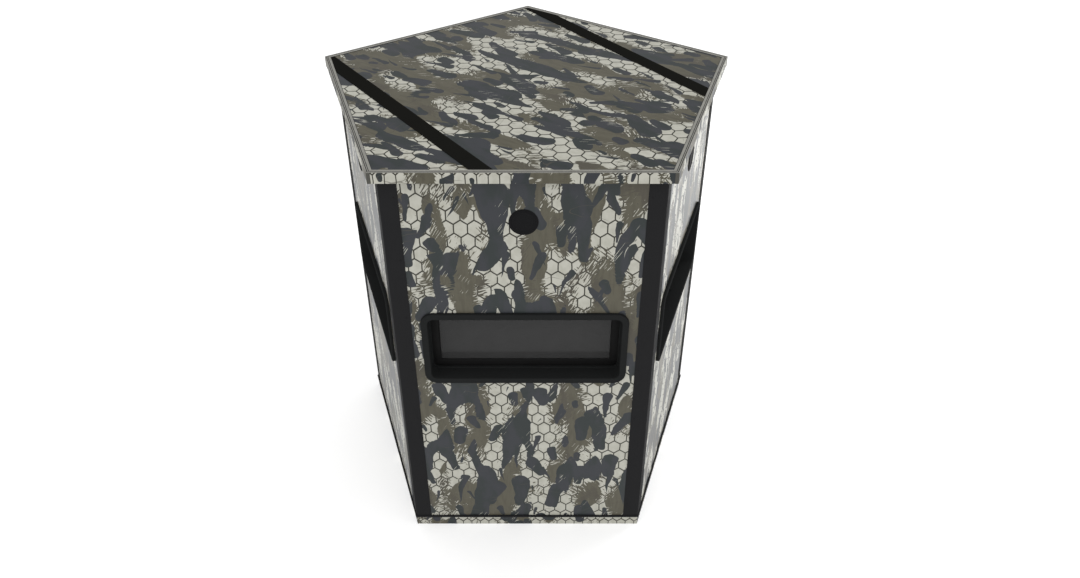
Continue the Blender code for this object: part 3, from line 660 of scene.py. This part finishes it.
def add_tube(shape, points, section, steps=6, bend=0.012):
    """A closed section carried along a level path, round the bend at its corner, to a rounded end."""
    first, here, last = (Vector(p) for p in points)
    b, o = (first - here).normalized(), (last - here).normalized()
    half = math.acos(b.dot(o)) / 2
    reach = bend / math.tan(half)
    centre = here + (b + o).normalized() * (bend / math.sin(half))
    start, end = here + b * reach - centre, here + o * reach - centre
    turn = [centre + start.slerp(end, k / steps) * bend for k in range(steps + 1)]
    path = [first, *turn, last]
    loops = []
    for i, p in enumerate(path):
        ahead = (path[min(i + 1, len(path) - 1)] - path[max(i - 1, 0)]).normalized()
        side = ahead.cross(UP).normalized()
        loops.append([tuple(p + side * a + UP * b) for a, b in section])
    ahead = (path[-1] - path[-2]).normalized()
    side = ahead.cross(UP).normalized()
    for share, on in ((0.92, 0.0018), (0.72, 0.0034), (0.40, 0.0044)):
        end = path[-1] + ahead * on
        loops.append([tuple(end + side * a * share + UP * b * share) for a, b in section])
    add_loops(shape, loops, cyclic=False)


def new_object(name, data):
    """An object in the scene that holds its data, which may be a bmesh."""
    if isinstance(data, bmesh.types.BMesh):
        shape, data = data, bpy.data.meshes.new(name)
        shape.to_mesh(data)
        shape.free()
    obj = bpy.data.objects.new(name, data)
    bpy.context.scene.collection.objects.link(obj)
    return obj


SHARP = 38  # degrees between two faces from which their edge is shaded as sharp


def piece(name, shape, body, finish, wall=None, node=None, sharp=SHARP):
    """Turns a bmesh into a piece that rides on a body, and stands for a CAD node if one is named.

    finish is its material and a slot, which the piece doesn't use. wall says whose space it is in, or None
    for the row frame.
    """
    material, slot = finish
    bmesh.ops.recalc_face_normals(shape, faces=shape.faces)
    if wall:
        bmesh.ops.transform(shape, matrix=wall_matrix(wall), verts=shape.verts)
    obj = new_object(name, shape)
    obj.data.shade_smooth()
    obj.data.set_sharp_from_angle(angle=math.radians(sharp))
    obj.data.materials.append(material)
    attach(obj, body)
    if node:
        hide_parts(node)
    return obj


def refined(node, name, finish, width, wall=None, screws=(), axis=OUTWARDS):
    """A copy of a CAD node with its edges eased and its screws added, which stands for it."""
    shape = bmesh.new()
    shape.from_mesh(frame["nodes"][node].data)
    bmesh.ops.remove_doubles(shape, verts=shape.verts, dist=1e-5)
    bmesh.ops.dissolve_limit(
        shape, angle_limit=math.radians(0.6), verts=shape.verts, edges=shape.edges,
        use_dissolve_boundaries=False,
    )
    keen = [
        e for e in shape.edges
        if len(e.link_faces) == 2 and e.calc_face_angle(0) > math.radians(32)
    ]
    bmesh.ops.bevel(
        shape, geom=keen, offset=width, segments=2, profile=0.5, affect="EDGES", clamp_overlap=True
    )
    inverse = wall_matrix(wall).inverted() if wall else Matrix.Identity(4)
    bmesh.ops.transform(shape, matrix=inverse, verts=shape.verts)
    for place in screws:
        add_screw(shape, place, axis)
    piece(name, shape, body_of(node), finish, wall, node)


# ---------------- windows

# A window's mouldings: the bezel's width, the opening's corner radius, the depth at which the liner steps
# in, and how far inside the opening the sash rail ends and the glass rebate starts.
BEZEL_BAND = 0.029
WINDOW_RADIUS, LEAST_CORNER = 0.028, 0.0012
LINER_STEP = 0.062
SASH_INSET = 0.038
REBATE_INSET = 0.028
BEZEL_LOW, BEZEL_HIGH = wall_box("window_frame_front", "front")
BEZEL_PROUD, LINER_END = -BEZEL_LOW.y, BEZEL_HIGH.y
WINDOW_Z = (BEZEL_LOW.z + BEZEL_HIGH.z) / 2
WINDOW_HALF = [(BEZEL_HIGH[i] - BEZEL_LOW[i]) / 2 - BEZEL_BAND for i in (0, 2)]  # the opening's
WEEPS = (-0.335, -0.109, 0.109, 0.335)  # the drain slots in the sill, from its middle
WEEP_HALF, WEEP_RADIUS = 0.010, 0.0026
WEEP_FRONT, WEEP_BACK = 0.044, 0.054
CLAMP_GAUGE = 0.0063
CLAMP_SCREW_OUT = 0.033  # from the opening's edge
CLAMP_SCREWS_X = (-0.36, -0.18, 0.0, 0.18, 0.36)
CLAMP_SCREWS_Z = (-0.08, 0.08)


def window_ring(profile, radii, steps, segments):
    """A bmesh of a closed profile of (outset, depth), filleted and swept round a window's opening."""
    loops = []
    for outset, depth in filleted(profile, radii, steps):
        width, height = (half + outset for half in WINDOW_HALF)
        corner = max(WINDOW_RADIUS + outset, LEAST_CORNER)
        outline = rounded_rectangle(width, height, corner, segments)
        loops.append([(x, depth, WINDOW_Z + z) for x, z in outline])
    shape = bmesh.new()
    add_loops(shape, loops, cyclic=True)
    return shape


def make_bezel(wall):
    """The bezel and liner in one moulding, with drain slots in its sill."""
    face, seat = -BEZEL_PROUD, -0.0004
    outside, lip = 0.004, -0.005
    profile = [
        (0, face), (BEZEL_BAND, face), (BEZEL_BAND, seat), (outside, seat), (outside, LINER_END),
        (lip, LINER_END), (lip, LINER_STEP), (0, LINER_STEP),
    ]
    radii = [0.0026, 0.0032, 0.0006, 0, 0, 0.0008, 0.0014, 0.0010]
    shape = window_ring(profile, radii, 4, 12)
    obj = piece(f"bezel_{wall}", shape, "shell", BEZEL_BLACK, wall, f"window_frame_{wall}")
    sill = WINDOW_Z - WINDOW_HALF[1]
    slots = bmesh.new()
    for x in WEEPS:
        low = (x - WEEP_HALF, WEEP_FRONT, sill - WEEP_RADIUS)
        add_box(slots, low, (x + WEEP_HALF, WEEP_BACK, sill + 0.02), WEEP_RADIUS)
    cut_from(obj, slots, wall)


def cut_from(obj, shape, wall):
    """Takes a bmesh out of a piece with one applied Boolean."""
    bmesh.ops.recalc_face_normals(shape, faces=shape.faces)
    bmesh.ops.transform(shape, matrix=wall_matrix(wall), verts=shape.verts)
    cutter = new_object("cutter", shape)
    step = obj.modifiers.new("cut", "BOOLEAN")
    step.operation = "DIFFERENCE"
    step.object = cutter
    graph = bpy.context.evaluated_depsgraph_get()
    result = bpy.data.meshes.new_from_object(obj.evaluated_get(graph), depsgraph=graph)
    obj.modifiers.clear()
    obj.data = result
    result.set_sharp_from_angle(angle=math.radians(SHARP))
    bpy.data.objects.remove(cutter, do_unlink=True)


def make_window(wall):
    """A window: bezel, seals, sash with its glazing beads, clamp ring with its screws, and latch."""

    def seal(name, body, profile, radius, steps, segments=10):
        ring = window_ring(profile, radius, steps, segments)
        piece(f"{name}_{wall}", ring, body, RUBBER, wall)

    make_bezel(wall)
    a, b = BEZEL_BAND - 0.004, BEZEL_BAND + 0.0014
    seal("bezel_gasket", "shell", [(a, -0.0022), (b, -0.0016), (b, -0.0002), (a, -0.0002)], 0.0004, 2)
    sash_face = wall_box(f"window_sash_{wall}", wall)[0].y
    near, far = LINER_END + 0.0002, sash_face - 0.0003
    profile = [(0.0005, near), (0.0075, near), (0.0070, far), (0.0010, far)]
    seal("sash_weatherstrip", "shell", profile, 0.0006, 2)

    refined(f"window_sash_{wall}", f"sash_{wall}", SASH_BLACK, 0.0010, wall)
    glass_low, glass_high = wall_box(f"window_glass_{wall}", wall)
    a, b, front = 0.0002 - SASH_INSET, -0.0040 - SASH_INSET, glass_low.y - 0.0004
    profile = [(a, sash_face + 0.0022), (b, front), (a, front)]
    seal("glass_bead", f"{wall}_sash", profile, 0.0002, 1, 4)
    edge, behind = -REBATE_INSET, glass_high.y + 0.0002
    end = behind + 0.0062
    profile = [(edge - 0.0005, behind), (edge - 0.0045, behind), (edge - 0.0010, end), (edge + 0.0002, end)]
    seal("glass_back_bead", f"{wall}_sash", profile, 0.0003, 1, 4)

    out_x, out_z = (half + CLAMP_SCREW_OUT for half in WINDOW_HALF)
    # the latch is where the middle screw under the window would be
    spots = [(x, side * out_z) for x in CLAMP_SCREWS_X for side in (-1, 1) if x or side > 0]
    spots += [(side * out_x, z) for side in (-1, 1) for z in CLAMP_SCREWS_Z]
    screws = [(x, WALL_THICKNESS + CLAMP_GAUGE, WINDOW_Z + z) for x, z in spots]
    refined(f"window_clamp_{wall}", f"clamp_{wall}", MOULDING, 0.0008, wall, screws, INWARDS)
    refined(f"window_latch_{wall}", f"latch_{wall}", HARDWARE, 0.0009, wall)


# ---------------- vents

VENT_SEGMENTS = 72
SLEEVE_BORE, SLEEVE_OUTSIDE = 0.0485, 0.0520
PLUG_BARREL = 0.0478
PLUG_RIBS = (-0.012, -0.022, -0.032)  # where the sealing ribs round the barrel start
PLUG_VANE = 0.0455
PLUG_VANE_HALF = 0.0015


def make_vent(wall):
    """A flanged sleeve, and the plug in it: a stepped disc on a ribbed barrel, stiffened by a cross."""
    low, high = wall_box(f"vent_sleeve_{wall}", wall)
    z = (low.z + high.z) / 2
    radius = (high.x - low.x) / 2
    flange, end = -low.y, -WALL_THICKNESS - 0.0022
    profile = filleted(
        [(SLEEVE_BORE, flange), (radius, flange), (radius, 0.0003), (SLEEVE_OUTSIDE, 0.0003),
         (SLEEVE_OUTSIDE, end), (SLEEVE_BORE, end)],
        [0.0012, 0.0030, 0.0004, 0, 0.0005, 0.0008], 4,
    )
    shape = bmesh.new()
    add_turned(shape, (0, 0, z), OUTWARDS, profile, VENT_SEGMENTS)
    piece(f"vent_collar_{wall}", shape, "shell", VENT_BLACK, wall, f"vent_sleeve_{wall}")

    low, high = wall_box(f"vent_plug_{wall}", wall)
    cap, barrel = (high.x - low.x) / 2, PLUG_BARREL
    face, back, seat = -low.y, -high.y, flange + 0.0003
    rim, groove, dish = face - 0.0002, face - 0.0012, face - 0.0016
    profile = [
        (0, dish), (cap - 0.0145, dish), (cap - 0.0130, face - 0.0004), (cap - 0.0075, rim),
        (cap - 0.0065, groove), (cap - 0.0048, groove), (cap - 0.0038, rim), (cap - 0.0016, rim),
        (cap, face - 0.0018), (cap, seat), (barrel, seat),
    ]
    for at in PLUG_RIBS:
        profile += [(barrel, at), (barrel + 0.0005, at - 0.001), (barrel, at - 0.002)]
    inside = barrel - 0.004
    profile += [(barrel, back), (inside, back), (inside, seat - 0.002), (0, seat - 0.002)]
    shape = bmesh.new()
    add_turned(shape, (0, 0, z), OUTWARDS, profile, VENT_SEGMENTS)
    for half_x, half_z, depth in (
        (PLUG_VANE, PLUG_VANE_HALF, 0.022), (PLUG_VANE_HALF, PLUG_VANE, 0.018),
    ):
        add_box(shape, (-half_x, -seat, z - half_z), (half_x, -seat + depth, z + half_z), 0.0006)
    piece(f"vent_cap_{wall}", shape, f"{wall}_plug", VENT_BLACK, wall, f"vent_plug_{wall}")


# ---------------- shell trims

WALL_SIDE = 2 * WALL_APOTHEM * math.tan(HALF_ANGLE)
# A corner angle: where its legs end and its screws sit, along the wall, and its faces, out from the wall.
TRIM_LEG_END = WALL_SIDE / 2 - 0.074
TRIM_SCREW_LINE = WALL_SIDE / 2 - 0.058
TRIM_FACE, TRIM_BACK = 0.0033, 0.0003
TRIM_SCREWS = 7
TRIM_FIRST_SCREW = 0.09


def beside(angle, side):
    """The way that the wall on one side of a corner faces, in plan."""
    return heading(angle + side * HALF_ANGLE)


def on_wall(angle, side, out, along):
    """A plan point beside a corner: out from that wall's face, and along it from its middle."""
    normal = beside(angle, side)
    right = Vector((-normal.y, normal.x))
    return normal * (WALL_APOTHEM + out) - right * side * along


def at_corner(angle, apothem):
    """The plan point at a corner of the pentagon of this apothem."""
    return heading(angle, apothem / math.cos(HALF_ANGLE))


def bent_outline(angle, near, far, leg_end, radii, steps):
    """The outline of a strip bent round a corner. near and far are its faces, out from the wall's."""
    points = [
        on_wall(angle, -1, far, leg_end), at_corner(angle, WALL_APOTHEM + far),
        on_wall(angle, 1, far, leg_end), on_wall(angle, 1, near, leg_end),
        at_corner(angle, WALL_APOTHEM + near), on_wall(angle, -1, near, leg_end),
    ]
    return filleted(points, radii, steps)


def corner_outline(angle, near, far, leg_end, bend):
    gauge = abs(far - near)
    ease, inside = gauge * 0.3, max(bend - gauge, 0.0008)
    return bent_outline(angle, near, far, leg_end, [ease, bend, ease, gauge * 0.1, inside, gauge * 0.1], 4)


def straight_bar(shape, outline, low, high):
    """A plan outline raised from low to high."""
    add_loops(shape, [[(x, y, z) for x, y in outline] for z in (low, high)], cyclic=False)


def make_corner(corner):
    """The corner angle outside, with its two rows of screws, and the one inside."""
    angle = math.radians(CORNERS[corner])
    low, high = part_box(f"corner_trim_{corner}")
    shape = bmesh.new()
    outline = corner_outline(angle, TRIM_BACK, TRIM_FACE, TRIM_LEG_END, 0.005)
    straight_bar(shape, outline, low.z, high.z)
    span = high.z - low.z - 2 * TRIM_FIRST_SCREW
    for side in (-1, 1):
        normal = (*beside(angle, side), 0)
        spot = on_wall(angle, side, TRIM_FACE, TRIM_SCREW_LINE)
        for i in range(TRIM_SCREWS):
            z = low.z + TRIM_FIRST_SCREW + span * i / (TRIM_SCREWS - 1)
            add_screw(shape, (spot.x, spot.y, z), normal, 0.0032)
    piece(f"corner_angle_{corner}", shape, "shell", BLACK_TRIM, None, f"corner_trim_{corner}")

    inner = -WALL_THICKNESS - 0.0004
    shape = bmesh.new()
    leg_end = (WALL_APOTHEM + inner) * math.tan(HALF_ANGLE) - 0.040
    outline = corner_outline(angle, inner, inner - 0.0016, leg_end, 0.004)
    straight_bar(shape, outline, low.z + 0.0005, high.z - 0.004)
    piece(f"inner_angle_{corner}", shape, "shell", BLACK_TRIM)


def plan_loop(apothem, z):
    """The five corners of the pentagon of this apothem, at a height."""
    return [(*at_corner(math.radians(a), apothem), z) for a in CORNERS.values()]


def plan_ring(shape, profile, apothem):
    """A closed profile of (out, height) swept round the plan with mitred corners."""
    add_loops(shape, [plan_loop(apothem + out, z) for out, z in profile], cyclic=True)


# The rim: how far out its web, its grooves and its inner edge lie, and how thick its flanges are.
RIM_WEB = -0.0010
RIM_GROOVES = ((-0.0051, -0.0079), (-0.0119, -0.0145))
RIM_INNER = -0.0260
RIM_GAUGE = 0.0020
CAP_LEG, CAP_GAUGE = 0.015, 0.0009


def make_roof_rim():
    """The channel round the roof, the sealant in its grooves and against the roof, and its corner caps."""
    top, bottom = ROOF_TOP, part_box("roof_edge_trim")[0].z
    (a, b), (c, d) = RIM_GROOVES
    deep, shallow, lip, throat = top - 0.0012, top - 0.0009, top - 0.0002, -0.0033
    profile = [
        (RIM_WEB, bottom), (RIM_WEB, top - 0.0010), (RIM_WEB - 0.0008, top),
        (a + 0.0003, top), (a, deep), (b, deep), (b - 0.0003, top),
        (c + 0.0003, top), (c, shallow), (d, shallow), (d - 0.0003, lip),
        (RIM_INNER + 0.0006, lip), (RIM_INNER, top - 0.0008), (RIM_INNER, top - RIM_GAUGE),
        (throat, top - RIM_GAUGE), (throat, bottom + RIM_GAUGE),
        (RIM_INNER, bottom + RIM_GAUGE), (RIM_INNER, bottom),
    ]
    shape = bmesh.new()
    plan_ring(shape, profile, ROOF_APOTHEM)
    piece("roof_rim", shape, "shell", RIM, None, "roof_edge_trim", 20)
    shape = bmesh.new()
    for bead in (
        [(a, 0.0013), (a, 0.0006), (b, 0.0006), (b, 0.0013)],
        [(c, 0.0010), (c, 0.0005), (d, 0.0005), (d, 0.0010)],
        [(-0.0259, 0.0022), (-0.0259, 0.0010), (-0.0268, 0.0012), (-0.0282, 0.0022)],
    ):
        plan_ring(shape, [(out, top - down) for out, down in bead], ROOF_APOTHEM)
    piece("roof_rim_sealant", shape, "shell", RUBBER)
    shape = bmesh.new()
    reach = ROOF_APOTHEM * math.tan(HALF_ANGLE) - CAP_LEG
    face = ROOF_APOTHEM - WALL_APOTHEM
    for a in CORNERS.values():
        radii = [0.0003, 0.0006, 0.0003, 0, 0, 0]
        outline = bent_outline(math.radians(a), face - CAP_GAUGE, face, reach, radii, 2)
        straight_bar(shape, outline, bottom, top - 0.0008)
    piece("roof_corner_caps", shape, "shell", CAP_GREY)


STRIP_HALF = 0.030


def make_ceiling_strips():
    """Flat strips that cover the roof's two seams inside the cabin."""
    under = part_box("roof_panel_middle")[0].z
    across = heading(HALF_ANGLE)
    along = Vector((-across.y, across.x))
    seam = ROOF_APOTHEM * math.tan(HALF_ANGLE)
    inner = WALL_APOTHEM - WALL_THICKNESS - 0.004
    corners = [at_corner(math.radians(a), inner) for a in CORNERS.values()]
    for side, middle in (("left", -seam), ("right", seam)):
        spans = []
        for offset in (-STRIP_HALF, STRIP_HALF):
            hits = []
            for p, q in zip(corners, corners[1:] + corners[:1]):
                a, b = (v.dot(across) - middle - offset for v in (p, q))
                if a * b < 0:
                    hits.append(p.lerp(q, a / (a - b)).dot(along))
            spans.append((min(hits), max(hits)))
        low, high = max(s[0] for s in spans), min(s[1] for s in spans)
        strip = rectangle((-STRIP_HALF, low), (STRIP_HALF, high))
        outline = [tuple(across * (middle + o) + along * r) for o, r in strip]
        shape = bmesh.new()
        straight_bar(shape, filleted(outline, 0.002, 2), under - 0.0024, under - 0.0004)
        piece(f"ceiling_strip_{side}", shape, "shell", BLACK_TRIM)


def make_floor_mat():
    """A rubber mat that covers the floor inside, with its top edge eased."""
    floor_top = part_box("floor_panel")[1].z
    inner = WALL_APOTHEM - WALL_THICKNESS - 0.0056
    layers = ((0, 0.0004), (0, 0.0036), (-0.0012, 0.0046))
    shape = bmesh.new()
    add_loops(shape, [plan_loop(inner + out, floor_top + up) for out, up in layers], cyclic=False)
    piece("floor_mat", shape, "shell", MAT)


def make_base_and_battens():
    """The channel round the foot of the walls, and the strips over the roof's seams."""
    refined("base_channel", "base_track", BLACK_TRIM, 0.0008)
    for side in ("left", "right"):
        refined(f"roof_batten_{side}", f"roof_seam_strip_{side}", BATTEN, 0.0007)


# ---------------- door

# The door frame's face is this wide, and its screws are this far out from the clear opening.
JAMB_FACE = 0.034
JAMB_SCREW_OUT = 0.021
JAMB_SCREWS_Z = (-0.75, -0.45, -0.15, 0.15, 0.45, 0.75)
JAMB_SCREWS_X = (-0.25, 0.0, 0.25)
EDGING_WIDTH = 0.018
LEAF_HEIGHT = 0.070
LEAF_SCREWS = (0.17, 0.5, 0.83)  # shares of the leaf's height
LEAF_SCREW_IN = 0.010
LEAF_FACE = 0.0033  # out from the slab
STRIKE_SCREW_IN = 0.010


def make_door():
    """The door frame, the slab's edging, the hinges, the handles, the bolt and its strike plate."""
    wall = DOOR_WALL
    low, high = wall_box("door_frame", wall)
    slab_low, slab_high = wall_box("door_panel", wall)
    side_line = (high.x - low.x) / 2 - JAMB_FACE + JAMB_SCREW_OUT
    end_line = (high.z - low.z) / 2 - JAMB_FACE + JAMB_SCREW_OUT
    middle = (low.z + high.z) / 2
    spots = [(side * side_line, middle + z) for z in JAMB_SCREWS_Z for side in (-1, 1)]
    spots += [(x, middle + side * end_line) for x in JAMB_SCREWS_X for side in (-1, 1)]
    # the hinge leaves cover some of the jamb on their side
    hinges = [wall_box(f"door_hinge_pintle_{level}", wall) for level in ("lower", "upper")]
    screws = [
        (x, low.y, z) for x, z in spots
        if not any(x > 0 and a.z - 0.01 < z < b.z + 0.01 for a, b in hinges)
    ]
    refined("door_frame", "jamb", BLACK_TRIM, 0.0007, wall, screws)

    shape = bmesh.new()
    half_w, half_z = (slab_high.x - slab_low.x) / 2, (slab_high.z - slab_low.z) / 2
    centre_x, centre_z = (slab_high.x + slab_low.x) / 2, (slab_high.z + slab_low.z) / 2
    near, far = slab_low.y - 0.0002, slab_low.y - 0.0012
    loops = []
    for outset, depth in filleted(rectangle((-EDGING_WIDTH, near), (0.0, far)), 0.0003, 1):
        outline = rounded_rectangle(half_w + outset, half_z + outset, 0.0015, 1)
        loops.append([(centre_x + x, depth, centre_z + z) for x, z in outline])
    add_loops(shape, loops, cyclic=True)
    piece("door_edging", shape, "door", BLACK_TRIM, wall)

    for level in ("lower", "upper"):
        for part in ("pintle", "socket"):
            name = f"hinge_{part}_{level}"
            a, b = wall_box(f"door_{name}", wall)
            x = b.x - LEAF_SCREW_IN if part == "pintle" else a.x + LEAF_SCREW_IN
            face = slab_low.y - LEAF_FACE
            screws = [(x, face, a.z + share * LEAF_HEIGHT) for share in LEAF_SCREWS]
            refined(f"door_{name}", name, HARDWARE, 0.0006, wall, screws)

    make_handles(wall, slab_low, slab_high)
    refined("door_bolt", "latch_bolt", STEEL, 0.0006, wall)
    a, b = wall_box("door_strike_plate", wall)
    screws = [(b.x, (a.y + b.y) / 2, z) for z in (a.z + STRIKE_SCREW_IN, b.z - STRIKE_SCREW_IN)]
    refined("door_strike_plate", "strike_plate", STEEL, 0.0003, wall, screws, (1, 0, 0))


# A lever's section and the turned profiles of its hub and its rose, from the slab's face.
LEVER_HALF = (0.0060, 0.0088)
LEVER_SEGMENTS, ROSE_SEGMENTS = 40, 48
SPINDLE_HALF = 0.0040
HUB = [
    (0, 0.0006), (0.0128, 0.0006), (0.0128, 0.0030), (0.0112, 0.0052), (0.0104, 0.0150),
    (0.0090, 0.0166), (0, 0.0166),
]
ROSE = [
    (0.0136, 0.0002), (0.0250, 0.0002), (0.0250, 0.0030), (0.0238, 0.0044), (0.0150, 0.0052),
    (0.0136, 0.0048),
]
ROSE_SCREW_OUT, ROSE_SCREW_SEAT = 0.0196, 0.0044


def make_handles(wall, slab_low, slab_high):
    """A lever each side on a round rose. The outside one carries the square spindle."""
    out_low, out_high = wall_box("door_lever_outside", wall)
    in_high = wall_box("door_lever_inside", wall)[1]
    x = out_low.x + 0.013
    z = (out_low.z + out_high.z) / 2
    tip = out_high.x - 0.0046
    a, b = LEVER_HALF
    section = filleted(rectangle((-a, -b), (a, b)), 0.0045, 4)
    for side, near, far, sign in (
        ("outside", slab_low.y, out_low.y, -1), ("inside", slab_high.y, in_high.y, 1),
    ):
        node = f"door_lever_{side}"
        axis = (0, sign, 0)
        depth = far - sign * 0.0061
        shape = bmesh.new()
        add_tube(shape, [(x, near + sign * 0.010, z), (x, depth, z), (tip, depth, z)], section)
        add_turned(shape, (x, near, z), axis, HUB, LEVER_SEGMENTS)
        if side == "outside":
            half = SPINDLE_HALF
            low = (x - half, near - 0.004, z - half)
            add_box(shape, low, (x + half, slab_high.y + 0.026, z + half), 0.0004)
        piece(f"handle_{side}", shape, body_of(node), HARDWARE, wall, node)
        rose = bmesh.new()
        add_turned(rose, (x, near, z), axis, ROSE, ROSE_SEGMENTS)
        for turn in (0.6, 0.6 + math.pi):
            right, up = ROSE_SCREW_OUT * math.cos(turn), ROSE_SCREW_OUT * math.sin(turn)
            add_screw(rose, (x + right, near + sign * ROSE_SCREW_SEAT, z + up), axis, 0.0024)
        piece(f"rose_{side}", rose, "door", HARDWARE, wall)


# ---------------- studio

CAMERA_PLACE = (0.0672, -3.981, 3.893)
CAMERA_TILT = math.radians(53.565)
CAMERA_LENS = 30.69
FLOOR_REACH = 14.0


def make_camera():
    data = bpy.data.cameras.new("camera")
    data.sensor_width = 36
    data.lens = CAMERA_LENS
    camera = new_object("camera", data)
    camera.location = CAMERA_PLACE
    camera.rotation_euler = (CAMERA_TILT, 0, 0)
    bpy.context.scene.camera = camera


def make_floor():
    """A plain pale floor, which glows a little so that it stays nearly white."""
    shape = bmesh.new()
    bmesh.ops.create_grid(shape, x_segments=8, y_segments=8, size=FLOOR_REACH)
    floor = new_object("studio_floor", shape)
    floor.location = (0, 0, -0.0005)
    made, g = new_material("pale_floor")
    speck = g.noise(g.object_place(), 3.0, 2.0)
    colour = g.mix(speck, (0.74, 0.74, 0.74, 1), (0.76, 0.76, 0.76, 1))
    g.surface(colour, 0.9, 0.0, Emission_Color=(1, 1, 1, 1), Emission_Strength=0.40)
    floor.data.materials.append(made)


def make_light():
    world = bpy.data.worlds.new("studio")
    world.use_nodes = True
    colour, strength = world.node_tree.nodes["Background"].inputs[:2]
    colour.default_value, strength.default_value = (1, 1, 1, 1), 1.0
    bpy.context.scene.world = world
    add_light("overhead", 7, 50, (-1.5, -3.5, 7.0), (0, 0, 1))
    add_light("side_fill", 3, 140, (4.6, 2.6, 1.8), (1.7, 1.5, 0))
    bpy.context.scene.view_settings.view_transform = "Standard"


def add_light(name, size, energy, place, target):
    data = bpy.data.lights.new(name, "AREA")
    data.shape = "DISK"
    data.size = size
    data.energy = energy
    light = new_object(name, data)
    light.location = place
    light.rotation_euler = (Vector(target) - Vector(place)).to_track_quat("-Z", "Y").to_euler()


def main():
    paint_nodes()
    for wall in WINDOW_WALLS:
        make_window(wall)
        make_vent(wall)
    for corner in CORNERS:
        make_corner(corner)
    make_roof_rim()
    make_ceiling_strips()
    make_floor_mat()
    make_base_and_battens()
    make_door()
    make_camera()
    make_floor()
    make_light()


main()
